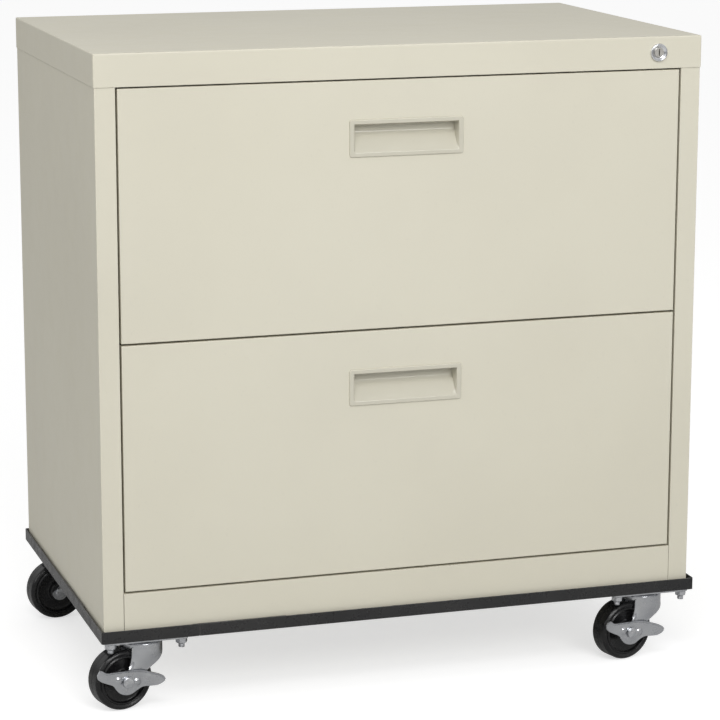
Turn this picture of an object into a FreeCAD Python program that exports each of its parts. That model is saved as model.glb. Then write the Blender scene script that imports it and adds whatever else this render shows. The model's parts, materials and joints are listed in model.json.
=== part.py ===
import FreeCAD, Part
import os
import re
import Sketcher

# Two-drawer lateral filing cabinet on an adjustable four-caster dolly.
# Frame: millimetres, +Z up, the front faces -Y, the origin lies on the floor
# under the middle of the cabinet.

doc = FreeCAD.newDocument("filing_cabinet")
sheet = doc.addObject("Spreadsheet::Sheet", "sizes")

SIZES = {
    # case
    "case_width": 762, "case_depth": 472, "case_height": 706.5, "wall": 1.0,
    "stile_width": 25, "stile_lip": 40, "fold": 15, "case_bend": 1.2,
    "cap_wall": 1.0, "cap_flange": 39.5, "cap_return": 12, "cap_bend": 1.8,
    "kick_height": 56, "kick_seam": 0.5, "foot_recess": 12, "pan_rim": 20,
    "post_wall": 1.2, "post_width": 50,
    "glide_inset_x": 36, "glide_inset_y": 60, "glide_foot": 11, "glide_stem": 4,
    "glide_foot_height": 7, "glide_stem_height": 24, "glide_nut": 6.5,
    # drawers
    "front_gap": 2.5, "head_gap": 2, "front_depth": 22, "liner_fold": 8,
    "slide_space": 12.7, "drawer_rise": 14, "side_drop": 38, "side_hem": 8,
    "rear_room": 20, "hanger_bar": 3, "hanger_height": 14, "hanger_inset": 30,
    "drawer_travel": 400,
    # drawer pulls
    "pull_width": 144.5, "pull_height": 45.4, "pull_drop": 46.5, "pull_proud": 1.8,
    "pull_border": 5.8, "pull_pocket": 17, "pull_wall": 1.5, "pull_flat": 11,
    "pull_fit": 0.25, "pull_corner": 3, "pull_sill": 0.6,
    # telescoping slides
    "slide_end": 6, "slide_start": 2, "slide_rise": 60, "slide_wall": 1.2,
    "slide_height": 45, "slide_lip": 10, "middle_height": 38.6, "middle_lip": 5.9,
    "middle_gap": 4.6, "inner_height": 24, "inner_lip": 5.5,
    # lock
    "lock_inset": 56.3, "lock_drop": 19.5, "bezel": 11, "bezel_proud": 3.2,
    "bezel_edge": 1.4, "barrel": 9.5, "barrel_length": 20, "lock_plug": 6, "plug_fit": 0.05, "plug_sink": 0.5,
    "plug_tail": 3, "keyway_width": 1.6, "keyway_height": 8, "keyway_depth": 8,
    "cam_wall": 2, "cam_arm": 10, "cam_pin": 2, "cam_rim": 1, "cam_hub": 6, "cam_gap": 0.5,
    "bar_wall": 2, "bar_height": 24, "bar_raise": 4, "bar_left": 20, "bar_right": 34,
    "bar_slot_fit": 0.6, "guide_wall": 1.5, "guide_width": 14, "guide_gap": 6,
    # dolly
    "caster_height": 90.8, "rail_wall": 1.5, "rail_lip": 15.2, "rail_flange": 38,
    "rail_corner": 2.5, "room_x": 5.75, "dolly_shift": 1.75, "room_y": 6,
    "front_arm": 121, "side_arm": 121, "seam_gap": 0.6, "lap": 8, "tongue": 110,
    "corner_plate": 110, "front_plate": 74, "rear_plate": 104,
    "slot_length": 30, "rail_bolt": 3, "rail_hole": 3.3, "rail_bolt_inset": 28,
    "rail_head": 5, "rail_head_height": 3, "rail_nut": 5, "rail_nut_height": 5,
    "first_bolt": 24, "second_bolt": 84,
    # casters
    "caster_inset_x": 56.75, "caster_inset_front": 36, "caster_inset_rear": 64.4,
    "plate_length": 102, "plate_width": 68, "plate_wall": 2.4, "plate_corner": 4,
    "bolt_spread_x": 44, "bolt_spread_y": 25.5, "caster_bolt": 4, "caster_hole": 4.3,
    "bolt_head": 7, "bolt_head_height": 1.2, "nut_flats": 12.7, "nut_height": 6.5,
    "bolt_end": 5.6,
    "race": 18, "race_height": 3, "race_gap": 0.4, "king_pin": 5, "king_head": 8,
    "king_head_height": 1.8, "pin_fit": 0.05,
    "crown": 25.5, "crown_height": 6.4, "fork_half": 19.1, "fork_wall": 2.6,
    "trail": 30, "wheel": 38, "tread_half": 14, "rim_depth": 9, "web_half": 9,
    "hub": 12, "hub_half": 16, "tread_round": 4, "axle": 4, "axle_fit": 0.05,
    "axle_boss": 11, "axle_head": 6.5, "axle_head_height": 3.6,
    "lever_gap": 0.6, "lever_wall": 2, "lever_ear": 40, "lever_pedal": 43,
    "lever_rise": 14, "lever_drop": 13, "lever_flare": 6, "lever_flat": 17,
    "lever_tip": 8, "lever_tilt": 12,
}
TURNS = {"front_left_caster": 14, "front_right_caster": 14,
         "rear_left_caster": 7, "rear_right_caster": 11}


def fillSheet():
    """Write every driving dimension into the spreadsheet under its alias."""
    for row, (alias, value) in enumerate(SIZES.items(), start=1):
        sheet.set("A%d" % row, alias)
        sheet.set("B%d" % row, str(value))
        sheet.setAlias("B%d" % row, alias)
    doc.recompute()


def formula(text):
    """Turn plain alias words into references to the sheet."""
    def named(found):
        return "sizes." + found.group() if found.group() in SIZES else found.group()
    return re.sub(r"[A-Za-z_]\w*", named, str(text))


def value(text):
    """The present number that a formula gives."""
    found = sheet.evalExpression(formula(text))
    return float(getattr(found, "Value", found))


def bind(thing, prop, text):
    thing.setExpression(prop, formula(text))


# Lines of the object that many pieces share, as formulas
HALF = "case_width / 2"
FRONT = "-case_depth / 2"
BACK = "case_depth / 2"
RAIL = "caster_height"
SEAT = f"{RAIL} + rail_wall"
BASE = f"{RAIL} + 2 * rail_wall"
TOP = f"{BASE} + case_height"
OPEN = f"{HALF} - stile_width"
BODY = f"{OPEN} - slide_space"
LIPS = f"{FRONT} + stile_lip"
PAN = f"{BASE} + foot_recess"
FRONT_HEIGHT = "( case_height - cap_flange - kick_height - 2 * front_gap - head_gap ) / 2"
LOWER = f"{BASE} + kick_height + front_gap"
UPPER = f"{LOWER} + {FRONT_HEIGHT} + front_gap"
FACE_BACK = f"{FRONT} + front_depth"
DRAWER_BACK = f"{BACK} - 2 * wall - rear_room"
SLIDE_FRONT = f"{FACE_BACK} + slide_start"
LOCK_X = f"{HALF} - lock_inset"
LOCK_Z = f"{TOP} - lock_drop"
CAP_FACE = f"{FRONT} - cap_wall"
DOLLY_X = f"( {HALF} + room_x )"
DOLLY_Y = f"( {BACK} + room_y )"
SEAM_X = f"( {DOLLY_X} - front_arm )"
SEAM_Y = f"( {DOLLY_Y} - side_arm )"


def flip(pair, side):
    """A low and high bound, or its mirror image on the other side."""
    low, high = pair
    return (low, high) if side > 0 else (f"-1 * ( {high} )", f"-1 * ( {low} )")


def slab(name, x, y, z):
    """A plain box between three pairs of formulas."""
    made = doc.addObject("Part::Box", name)
    for prop, axis, pair in (("Length", "x", x), ("Width", "y", y), ("Height", "z", z)):
        bind(made, prop, f"( {pair[1]} ) - ( {pair[0]} )")
        bind(made, f"Placement.Base.{axis}", pair[0])
    return made


def rod(name, radius, x, y, z, height):
    """An upright cylinder with its foot at a place."""
    made = doc.addObject("Part::Cylinder", name)
    bind(made, "Radius", radius)
    bind(made, "Height", height)
    for axis, place in (("x", x), ("y", y), ("z", z)):
        bind(made, f"Placement.Base.{axis}", place)
    return made


def hexagon(name, flats, x, y, z, height):
    """An upright hexagonal nut blank."""
    made = doc.addObject("Part::Prism", name)
    made.Polygon = 6
    bind(made, "Circumradius", f"( {flats} ) / 1.7320508")
    bind(made, "Height", height)
    for axis, place in (("x", x), ("y", y), ("z", z)):
        bind(made, f"Placement.Base.{axis}", place)
    return made


def joined(name, pieces):
    made = doc.addObject("Part::MultiFuse", name)
    made.Shapes = pieces
    made.Refine = True
    return made


def cut(name, base, tools):
    made = doc.addObject("Part::Cut", name)
    made.Base = base
    made.Tool = tools[0] if len(tools) == 1 else joined(name + "_tools", tools)
    return made


def softened(name, base, radius, wanted):
    """Round the straight edges that a test picks, with a radius from the sheet."""
    doc.recompute()
    size = value(radius)
    made = doc.addObject("Part::Fillet", name)
    made.Base = base
    made.Edges = [(number, size, size) for number, edge in enumerate(base.Shape.Edges, 1)
                  if wanted(edge)]
    return made


def nodeNamed(thing, label):
    """Mark an object as one finished sub-part of the assembly."""
    thing.Label = label
    NODES.append(thing)
    return thing


NODES = []


def near(a, b):
    return abs(a - b) < 0.01


def runsAlong(edge, axis):
    """True for a straight edge parallel to one axis."""
    if len(edge.Vertexes) != 2:
        return False
    a, b = (v.Point for v in edge.Vertexes)
    return near((b - a).Length, abs(getattr(b, axis) - getattr(a, axis)))


def edgeAt(edge, axis, **places):
    """True for an edge along an axis that passes through the given places."""
    if not runsAlong(edge, axis):
        return False
    point = edge.Vertexes[0].Point
    return all(near(getattr(point, key), place) for key, place in places.items())


# ---------------------------------------------------------------- bodies


def newBody(label):
    body = doc.addObject("PartDesign::Body", label + "_body")
    return nodeNamed(body, label)


def newSketch(body, plane, offset="0"):
    """A sketch on one of the body's own origin planes, moved along its normal."""
    sketch = body.newObject("Sketcher::SketchObject", body.Name + "_sketch")
    for feature in body.Origin.OriginFeatures:
        if feature.Role == plane:
            sketch.AttachmentSupport = [(feature, "")]
    sketch.MapMode = "FlatFace"
    bind(sketch, "AttachmentOffset.Base.z", offset)
    return sketch


def pin(sketch, geometry, end, place, tag):
    """Hold a point at two formulas, counted from the sketch's origin."""
    for kind, text, letter in (("DistanceX", place[0], "x"), ("DistanceY", place[1], "y")):
        sketch.addConstraint(Sketcher.Constraint(kind, -1, 1, geometry, end, value(text)))
        number = sketch.ConstraintCount - 1
        sketch.renameConstraint(number, tag + letter)
        bind(sketch, f"Constraints.{tag}{letter}", text)


def outline(sketch, points):
    """A closed outline of straight runs through formula points."""
    spots = [FreeCAD.Vector(value(a), value(b), 0) for a, b in points]
    first = sketch.GeometryCount
    for number, spot in enumerate(spots):
        after = spots[(number + 1) % len(spots)]
        sketch.addGeometry(Part.LineSegment(spot, after), False)
    for number, place in enumerate(points):
        line = first + number
        before = first + (number - 1) % len(points)
        sketch.addConstraint(Sketcher.Constraint("Coincident", before, 2, line, 1))
        pin(sketch, line, 1, place, "p%d_" % line)


def ring(sketch, centre, radius):
    """A circle at a formula place."""
    place = FreeCAD.Vector(value(centre[0]), value(centre[1]), 0)
    number = sketch.addGeometry(
        Part.Circle(place, FreeCAD.Vector(0, 0, 1), value(radius)), False)
    pin(sketch, number, 3, centre, "c%d_" % number)
    sketch.addConstraint(Sketcher.Constraint("Radius", number, value(radius)))
    sketch.renameConstraint(sketch.ConstraintCount - 1, "r%d" % number)
    bind(sketch, f"Constraints.r{number}", radius)


def grown(body, kind, sketch, length, middle=False, backwards=False):
    """Pad or pocket a sketch by a length."""
    made = body.newObject("PartDesign::" + kind, body.Name + "_" + kind.lower())
    made.Profile = sketch
    bind(made, "Length", length)
    made.Midplane = middle
    made.Reversed = backwards
    sketch.Visibility = False
    doc.recompute()
    return made


def turned(body, sketch, axis):
    """Revolve a sketch about one of the body's own axes."""
    made = body.newObject("PartDesign::Revolution", body.Name + "_revolution")
    made.Profile = sketch
    for feature in body.Origin.OriginFeatures:
        if feature.Role == axis:
            made.ReferenceAxis = (feature, [""])
    made.Angle = 360
    sketch.Visibility = False
    doc.recompute()
    return made


def rounded(body, radius, wanted):
    """Fillet the body's edges that a test picks."""
    doc.recompute()
    base = body.Tip
    names = ["Edge%d" % number for number, edge in enumerate(base.Shape.Edges, 1)
             if wanted(edge)]
    made = body.newObject("PartDesign::Fillet", body.Name + "_fillet")
    made.Base = (base, names)
    bind(made, "Radius", radius)
    doc.recompute()
    return made


def placed(thing, x, y, z, turn=0):
    """Stand a finished sub-part at its place, turned about the upright axis."""
    spin = FreeCAD.Rotation(FreeCAD.Vector(0, 0, 1), turn)
    thing.Placement = FreeCAD.Placement(FreeCAD.Vector(0, 0, 0), spin)
    for axis, place in (("x", x), ("y", y), ("z", z)):
        bind(thing, f"Placement.Base.{axis}", place)


# ---------------------------------------------------------------- case


def makeSidePanels():
    height = (BASE, f"{TOP} - cap_wall")
    deep = (FRONT, f"{BACK} - wall")
    inner = f"{OPEN} + wall"
    for name, side in (("left", -1), ("right", 1)):
        turn_in = flip((f"{HALF} - fold", HALF), side)
        pieces = [
            slab(name + "_wall", flip((f"{HALF} - wall", HALF), side), deep, height),
            slab(name + "_stile", flip((OPEN, HALF), side), (FRONT, f"{FRONT} + wall"), height),
            slab(name + "_lip", flip((OPEN, inner), side), (FRONT, LIPS), (BASE, f"{TOP} - cap_flange")),
            slab(name + "_rear_fold", turn_in, (f"{BACK} - 2 * wall", f"{BACK} - wall"), height),
            slab(name + "_foot_fold", turn_in, deep, (BASE, f"{BASE} + wall")),
            slab(name + "_head_fold", turn_in, deep, (f"{TOP} - cap_wall - wall", f"{TOP} - cap_wall")),
        ]
        panel = joined(name + "_side_sheet", pieces)
        edge_x, face_y = side * value(HALF), value(FRONT)
        lip_x = side * value(OPEN)
        nodeNamed(softened(name + "_side_bends", panel, "case_bend / 2", lambda edge: any(
            edgeAt(edge, "z", x=place, y=face_y) for place in (lip_x, edge_x))), name + "_side_panel")


def makeBackPanel():
    inside = f"{HALF} - fold - kick_seam"
    wide = (f"-1 * ( {inside} )", inside)
    pieces = [
        slab("back_sheet", (f"-1 * {HALF}", HALF), (f"{BACK} - wall", BACK), (BASE, f"{TOP} - cap_wall")),
        slab("back_foot", wide, (f"{BACK} - fold", BACK), (BASE, f"{BASE} + wall")),
        slab("back_head", wide, (f"{BACK} - fold", BACK), (f"{TOP} - cap_wall - wall", f"{TOP} - cap_wall")),
    ]
    nodeNamed(joined("back_sheet_all", pieces), "back_panel")


def makeTopCap():
    wide = (f"-1 * ( {HALF} + cap_wall )", f"{HALF} + cap_wall")
    deep = (f"{FRONT} - cap_wall", f"{BACK} + cap_wall")
    skirt = (f"{TOP} - cap_flange", TOP)
    hem = f"{OPEN} - kick_seam"
    pieces = [
        slab("cap_plate", wide, deep, (f"{TOP} - cap_wall", TOP)),
        slab("cap_front", wide, (deep[0], FRONT), skirt),
        slab("cap_rear", wide, (BACK, deep[1]), skirt),
        slab("cap_left", (wide[0], f"-1 * {HALF}"), deep, skirt),
        slab("cap_right", (HALF, wide[1]), deep, skirt),
        slab("cap_return_fold", (f"-1 * ( {hem} )", hem), (deep[0], f"{FRONT} + cap_return"),
             (skirt[0], f"{skirt[0]} + wall")),
    ]
    cap = joined("cap_sheet", pieces)
    hole = rod("cap_lock_hole", "barrel + plug_fit", LOCK_X, "0", LOCK_Z, "2 * cap_wall + 2")
    hole.Placement.Rotation = FreeCAD.Rotation(FreeCAD.Vector(1, 0, 0), -90)
    bind(hole, "Placement.Base.y", f"{CAP_FACE} - 1")
    drilled = cut("cap_drilled", cap, [hole])
    x, z = value(wide[1]), value(TOP)
    y_front, y_back = value(deep[0]), value(deep[1])

    def outerBend(edge):
        upright = any(edgeAt(edge, "z", x=a, y=b) for a in (-x, x) for b in (y_front, y_back))
        across = any(edgeAt(edge, "x", z=z, y=b) for b in (y_front, y_back))
        return upright or across or any(edgeAt(edge, "y", z=z, x=a) for a in (-x, x))

    nodeNamed(softened("cap_bends", drilled, "cap_bend", outerBend), "top_cap")


def makeBottomPan():
    wide = (f"-1 * ( {HALF} - wall )", f"{HALF} - wall")
    deep = (LIPS, f"{BACK} - 2 * wall")
    floor = (PAN, f"{PAN} + wall")
    rim = (PAN, f"{PAN} + pan_rim")
    pieces = [
        slab("pan_floor", wide, deep, floor),
        slab("pan_left", (wide[0], f"{wide[0]} + wall"), deep, rim),
        slab("pan_right", (f"{wide[1]} - wall", wide[1]), deep, rim),
        slab("pan_front", wide, (LIPS, f"{LIPS} + wall"), (PAN, f"{BASE} + kick_height")),
        slab("pan_rear", wide, (f"{deep[1]} - wall", deep[1]), rim),
    ]
    holes = [rod("pan_hole_%d" % number, "glide_stem + 0.3", x, y, f"{PAN} - 1", "wall + 2")
             for number, (x, y) in enumerate(glidePlaces())]
    nodeNamed(cut("pan_pierced", joined("pan_sheet", pieces), holes), "bottom_pan")


def makeKickRail():
    wide = (f"-1 * ( {OPEN} - kick_seam )", f"{OPEN} - kick_seam")
    crest = f"{BASE} + kick_height"
    pieces = [
        slab("kick_face", wide, (FRONT, f"{FRONT} + wall"), (BASE, crest)),
        slab("kick_shelf", wide, (FRONT, LIPS), (f"{crest} - wall", crest)),
        slab("kick_foot", wide, (FRONT, f"{FRONT} + fold"), (BASE, f"{BASE} + wall")),
    ]
    rail = joined("kick_sheet", pieces)
    face_y, crest_z = value(FRONT), value(crest)
    nodeNamed(softened("kick_bend", rail, "case_bend / 2",
                       lambda edge: edgeAt(edge, "x", y=face_y, z=crest_z)), "kick_rail")


def makeRearPosts():
    rear = f"{BACK} - 3 * wall"
    front = f"{rear} - post_width"
    high = (f"{PAN} + wall", f"{TOP} - cap_wall - wall")
    outer = f"{HALF} - 2 * wall"
    for name, side in (("left", -1), ("right", 1)):
        pieces = [
            slab(name + "_post_web", flip((OPEN, f"{OPEN} + post_wall"), side), (front, rear), high),
            slab(name + "_post_front", flip((OPEN, outer), side), (front, f"{front} + post_wall"), high),
            slab(name + "_post_rear", flip((OPEN, outer), side), (f"{rear} - post_wall", rear), high),
        ]
        nodeNamed(joined(name + "_post_sheet", pieces), name + "_rear_post")


def glidePlaces():
    across = f"{HALF} - glide_inset_x"
    return [(f"{a} * ( {across} )", f"{b} * ( {BACK} - glide_inset_y )")
            for a in (-1, 1) for b in (-1, 1)]


def makeGlides():
    """Screw-in feet, drawn right up into the recess under the pan."""
    feet = []
    foot_top = f"{PAN} - 0.5"
    for number, (x, y) in enumerate(glidePlaces()):
        foot = rod("glide_foot_%d" % number, "glide_foot", x, y, f"{foot_top} - glide_foot_height",
                   "glide_foot_height")
        stem = rod("glide_stem_%d" % number, "glide_stem", x, y, f"{foot_top} - 1", "glide_stem_height")
        nut = hexagon("glide_nut_%d" % number, "2 * glide_nut", x, y, f"{PAN} + wall", "glide_nut - 1")
        feet.append(joined("glide_%d" % number, [foot, stem, nut]))
    group = doc.addObject("Part::Compound", "glides_all")
    group.Links = feet
    nodeNamed(group, "leveling_glides")


# ---------------------------------------------------------------- drawers


def makeDrawer(name, foot):
    """Every pressed sheet of one drawer; foot is the lower edge of its front."""
    head = f"{foot} + {FRONT_HEIGHT}"
    floor = f"{foot} + drawer_rise"
    rim = f"{head} - side_drop"
    face = f"{OPEN} - front_gap"
    inner = f"{BODY} - wall"
    makeDrawerFront(name, face, foot, head)
    makeDrawerLiner(name, face, foot, head)
    makePull(name, head)
    deep = (FACE_BACK, DRAWER_BACK)
    wide = (f"-1 * ( {inner} )", inner)
    pieces = [
        slab(name + "_floor", wide, deep, (floor, f"{floor} + wall")),
        slab(name + "_floor_front", wide, (FACE_BACK, f"{FACE_BACK} + wall"),
             (floor, f"{floor} + pan_rim")),
    ]
    nodeNamed(joined(name + "_floor_sheet", pieces), name + "_drawer_bottom")
    for side_name, side in (("left", -1), ("right", 1)):
        pieces = [
            slab(f"{name}_{side_name}_web", flip((inner, BODY), side), deep, (floor, rim)),
            slab(f"{name}_{side_name}_hem", flip((f"{BODY} - side_hem", BODY), side), deep,
                 (f"{rim} - wall", rim)),
        ]
        nodeNamed(joined(f"{name}_{side_name}_sheet", pieces), f"{name}_drawer_{side_name}_side")
    under = f"{rim} - wall"
    pieces = [
        slab(name + "_back_web", wide, (f"{DRAWER_BACK} - wall", DRAWER_BACK), (f"{floor} + wall", under)),
        slab(name + "_back_hem", wide, (f"{DRAWER_BACK} - side_hem", DRAWER_BACK),
             (f"{under} - wall", under)),
    ]
    nodeNamed(joined(name + "_back_sheet", pieces), name + "_drawer_back")
    hung = (f"{under} - hanger_height", under)
    fore = f"{FACE_BACK} + hanger_inset"
    aft = f"{DRAWER_BACK} - hanger_inset"
    bars = [
        slab(name + "_bar_front", wide, (fore, f"{fore} + hanger_bar"), hung),
        slab(name + "_bar_rear", wide, (f"{aft} - hanger_bar", aft), hung),
    ]
    group = doc.addObject("Part::Compound", name + "_bars")
    group.Links = bars
    nodeNamed(group, name + "_drawer_hanger_bars")


def makeDrawerFront(name, face, foot, head):
    """The folded outer shell, with the opening that the pull snaps into."""
    wide = (f"-1 * ( {face} )", face)
    high = (foot, head)
    deep = (FRONT, FACE_BACK)
    pieces = [
        slab(name + "_face", wide, (FRONT, f"{FRONT} + wall"), high),
        slab(name + "_face_left", (wide[0], f"{wide[0]} + wall"), deep, high),
        slab(name + "_face_right", (f"{face} - wall", face), deep, high),
        slab(name + "_face_foot", wide, deep, (foot, f"{foot} + wall")),
        slab(name + "_face_head", wide, deep, (f"{head} - wall", head)),
    ]
    shell = joined(name + "_face_sheet", pieces)
    half = "pull_width / 2 - pull_border + pull_wall + pull_fit"
    low = f"{head} - pull_drop - pull_height + pull_border - pull_wall - pull_fit"
    high_edge = f"{head} - pull_drop - pull_border + pull_wall + pull_fit"
    opening = slab(name + "_face_opening", (f"-1 * ( {half} )", half),
                   (f"{FRONT} - 1", f"{FRONT} + wall + 1"), (low, high_edge))
    pierced = cut(name + "_face_pierced", shell, [opening])
    x, y = value(face), value(FRONT)
    low_z, high_z = value(foot), value(head)

    def frontBend(edge):
        upright = any(edgeAt(edge, "z", x=a, y=y) for a in (-x, x))
        return upright or any(edgeAt(edge, "x", y=y, z=b) for b in (low_z, high_z))

    nodeNamed(softened(name + "_face_bends", pierced, "case_bend", frontBend), name + "_drawer_front")


def makeDrawerLiner(name, face, foot, head):
    """The inner panel that closes the back of the folded front."""
    wide = (f"-1 * ( {face} - wall )", f"{face} - wall")
    high = (f"{foot} + wall", f"{head} - wall")
    fold = (f"{FACE_BACK} - liner_fold", FACE_BACK)
    pieces = [
        slab(name + "_liner_sheet", wide, (f"{FACE_BACK} - wall", FACE_BACK), high),
        slab(name + "_liner_foot", wide, fold, (high[0], f"{high[0]} + wall")),
        slab(name + "_liner_head", wide, fold, (f"{high[1]} - wall", high[1])),
    ]
    nodeNamed(joined(name + "_liner", pieces), name + "_drawer_liner")


def makePull(name, head):
    """A moulded recessed pull: a raised frame round a finger pocket."""
    body = newBody(name + "_drawer_pull")
    low = f"{head} - pull_drop - pull_height"
    high = f"{head} - pull_drop"
    inner_low, inner_high = f"{low} + pull_border", f"{high} - pull_border"
    face = f"{FRONT} - pull_proud"
    frame = newSketch(body, "YZ_Plane")
    outline(frame, [(face, low), (FRONT, low), (FRONT, high), (face, high)])
    grown(body, "Pad", frame, "pull_width", middle=True)
    rounded(body, "pull_corner", lambda edge: runsAlong(edge, "y"))
    shell = newSketch(body, "YZ_Plane")
    inside = f"{FRONT} - pull_proud / 2"
    deep = f"{face} + pull_pocket"
    back = f"{deep} + pull_wall"
    bend = f"{inner_high} - pull_flat"
    outline(shell, [(inside, f"{inner_low} - pull_wall"),
                    (f"{FRONT} + wall + pull_wall", f"{inner_low} - pull_wall"),
                    (back, f"{bend} - pull_wall / 2"), (back, f"{inner_high} + pull_wall"),
                    (inside, f"{inner_high} + pull_wall")])
    grown(body, "Pad", shell, "pull_width - 2 * pull_border + 2 * pull_wall", middle=True)
    pocket = newSketch(body, "YZ_Plane")
    outline(pocket, [(f"{face} - 1", inner_low), (f"{face} + pull_sill", inner_low), (deep, bend),
                     (deep, inner_high), (f"{face} - 1", inner_high)])
    grown(body, "Pocket", pocket, "pull_width - 2 * pull_border", middle=True)
    half, proud = value("pull_width / 2"), value(face)
    bottom, top = value(low), value(high)

    def rimEdge(edge):
        point = edge.CenterOfMass
        outside = near(abs(point.x), half) or near(point.z, bottom) or near(point.z, top)
        return outside and any(edgeAt(edge, axis, y=proud) for axis in ("x", "z"))

    rounded(body, "pull_proud / 3", rimEdge)


def makeSlides(name, foot):
    """Left and right telescoping slides of one drawer, three members each."""
    centre = f"{foot} + drawer_rise + slide_rise"
    run = (SLIDE_FRONT, f"{DRAWER_BACK} - slide_end")
    centre_x = f"{OPEN} - middle_gap"
    members = {
        "cabinet": ((f"{OPEN} - slide_wall", OPEN), (f"{OPEN} - slide_lip", OPEN), "slide_height"),
        "middle": ((f"{centre_x} - slide_wall", centre_x), (f"{centre_x} - middle_lip", centre_x),
                   "middle_height"),
        "drawer": ((BODY, f"{BODY} + slide_wall"), (BODY, f"{BODY} + inner_lip"), "inner_height"),
    }
    for member, (web, lip, height) in members.items():
        low, high = f"{centre} - {height} / 2", f"{centre} + {height} / 2"
        rails = []
        for side in (-1, 1):
            tag = f"{name}_{member}_slide_{side + 1}"
            rails.append(joined(tag, [
                slab(tag + "_web", flip(web, side), run, (low, high)),
                slab(tag + "_foot", flip(lip, side), run, (low, f"{low} + slide_wall")),
                slab(tag + "_head", flip(lip, side), run, (f"{high} - slide_wall", high)),
            ]))
        group = doc.addObject("Part::Compound", f"{name}_{member}_slide_pair")
        group.Links = rails
        nodeNamed(group, f"{name}_slide_{member}_members")


# ---------------------------------------------------------------- lock


def makeLock():
    makeLockHousing()
    makeLockPlug()
    makeLockCam()
    makeLockBar()
    makeBarGuide()


def makeLockHousing():
    """A threaded barrel with a proud bezel; the axis lies along the body's own Y."""
    body = newBody("lock_housing")
    profile = newSketch(body, "XY_Plane")
    bore = "lock_plug + plug_fit"
    outline(profile, [(bore, "-bezel_proud"), ("bezel - bezel_edge", "-bezel_proud"),
                      ("bezel", "bezel_edge - bezel_proud"), ("bezel", "0"), ("barrel", "0"),
                      ("barrel", "barrel_length"), (bore, "barrel_length")])
    turned(body, profile, "Y_Axis")
    placed(body, LOCK_X, CAP_FACE, LOCK_Z)


def makeLockPlug():
    """The turning plug with its keyway and a square-shouldered tail."""
    body = newBody("lock_plug")
    profile = newSketch(body, "XY_Plane")
    face = "plug_sink - bezel_proud"
    tail = "barrel_length + cam_gap + cam_wall"
    outline(profile, [("0", face), ("lock_plug", face), ("lock_plug", "barrel_length"),
                      ("plug_tail", "barrel_length"), ("plug_tail", tail), ("0", tail)])
    turned(body, profile, "Y_Axis")
    key = newSketch(body, "XZ_Plane", "bezel_proud - plug_sink")
    outline(key, [("-keyway_width / 2", "-keyway_height / 2"), ("keyway_width / 2", "-keyway_height / 2"),
                  ("keyway_width / 2", "keyway_height / 2"), ("-keyway_width / 2", "keyway_height / 2")])
    grown(body, "Pocket", key, "keyway_depth")
    placed(body, LOCK_X, CAP_FACE, LOCK_Z)


def camPoint(out, aside):
    """A place on the cam's arm, which points up and to the left while unlocked."""
    return f"-0.7071 * ( {out} + {aside} )", f"0.7071 * ( {out} - {aside} )"


def camPin():
    return camPoint("cam_arm", "0")


def makeLockCam():
    """A crank plate on the plug's tail, with a pin that works the lock bar."""
    body = newBody("lock_cam")
    start = "-1 * ( barrel_length + cam_gap )"
    hub = newSketch(body, "XZ_Plane", start)
    ring(hub, ("0", "0"), "cam_hub")
    ring(hub, ("0", "0"), "plug_tail")
    grown(body, "Pad", hub, "cam_wall", backwards=True)
    arm = newSketch(body, "XZ_Plane", start)
    tip, root = "cam_arm + cam_pin + cam_rim", "cam_hub - cam_rim"
    aside = "( cam_pin + cam_rim )"
    outline(arm, [camPoint(tip, aside), camPoint(root, aside), camPoint(root, f"( -1 * {aside} )"),
                  camPoint(tip, f"( -1 * {aside} )")])
    grown(body, "Pad", arm, "cam_wall", backwards=True)
    post = newSketch(body, "XZ_Plane", start)
    ring(post, camPin(), "cam_pin")
    grown(body, "Pad", post, "cam_wall + cam_gap + bar_wall + 1", backwards=True)
    placed(body, LOCK_X, CAP_FACE, LOCK_Z)


def barLines():
    """The lock bar's front and back planes, counted along Y."""
    front = f"{CAP_FACE} + barrel_length + 2 * cam_gap + cam_wall"
    return front, f"{front} + bar_wall"


def makeLockBar():
    """The flat bar that the cam's pin pushes into the right-hand stile."""
    front, rear = barLines()
    x, z = camPin()
    low = f"{LOCK_Z} - bar_height / 2 + bar_raise"
    bar = slab("lock_bar_strip", (f"{LOCK_X} - bar_left", f"{LOCK_X} + bar_right"), (front, rear),
               (low, f"{low} + bar_height"))
    reach = "cam_pin + bar_slot_fit"
    slot = slab("lock_bar_slot", (f"{LOCK_X} + {x} - ( {reach} )", f"{LOCK_X} + {x} + ( {reach} )"),
                (f"{front} - 1", f"{rear} + 1"),
                (f"{LOCK_Z} + {z} - ( {reach} )", f"{LOCK_Z} + cam_arm + {reach}"))
    nodeNamed(cut("lock_bar_cut", bar, [slot]), "lock_bar")


def makeBarGuide():
    """A bracket under the cap that the lock bar slides through."""
    front, rear = barLines()
    gap = "cam_gap / 2"
    left = f"{LOCK_X} + cam_arm + guide_gap"
    wide = (left, f"{left} + guide_width")
    low = f"{LOCK_Z} - bar_height / 2 + bar_raise - {gap}"
    high = (f"{low} - guide_wall", f"{TOP} - cap_wall")
    near_side, far_side = f"{front} - {gap}", f"{rear} + {gap}"
    pieces = [
        slab("guide_rear", wide, (far_side, f"{far_side} + guide_wall"), high),
        slab("guide_foot", wide, (f"{near_side} - guide_wall", f"{far_side} + guide_wall"), (high[0], low)),
        slab("guide_front", wide, (f"{near_side} - guide_wall", near_side), high),
    ]
    nodeNamed(joined("guide_sheet", pieces), "lock_bar_guide")


# ---------------------------------------------------------------- dolly


def spun(pair, side, shift):
    """A bound pair turned half round about the dolly's middle, then shifted."""
    low, high = flip(pair, side)
    return (f"{low} + {shift}", f"{high} + {shift}")


def dollySlab(name, side, u, v, z):
    return slab(name, spun(u, side, "dolly_shift"), spun(v, side, "0"), z)


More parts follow.
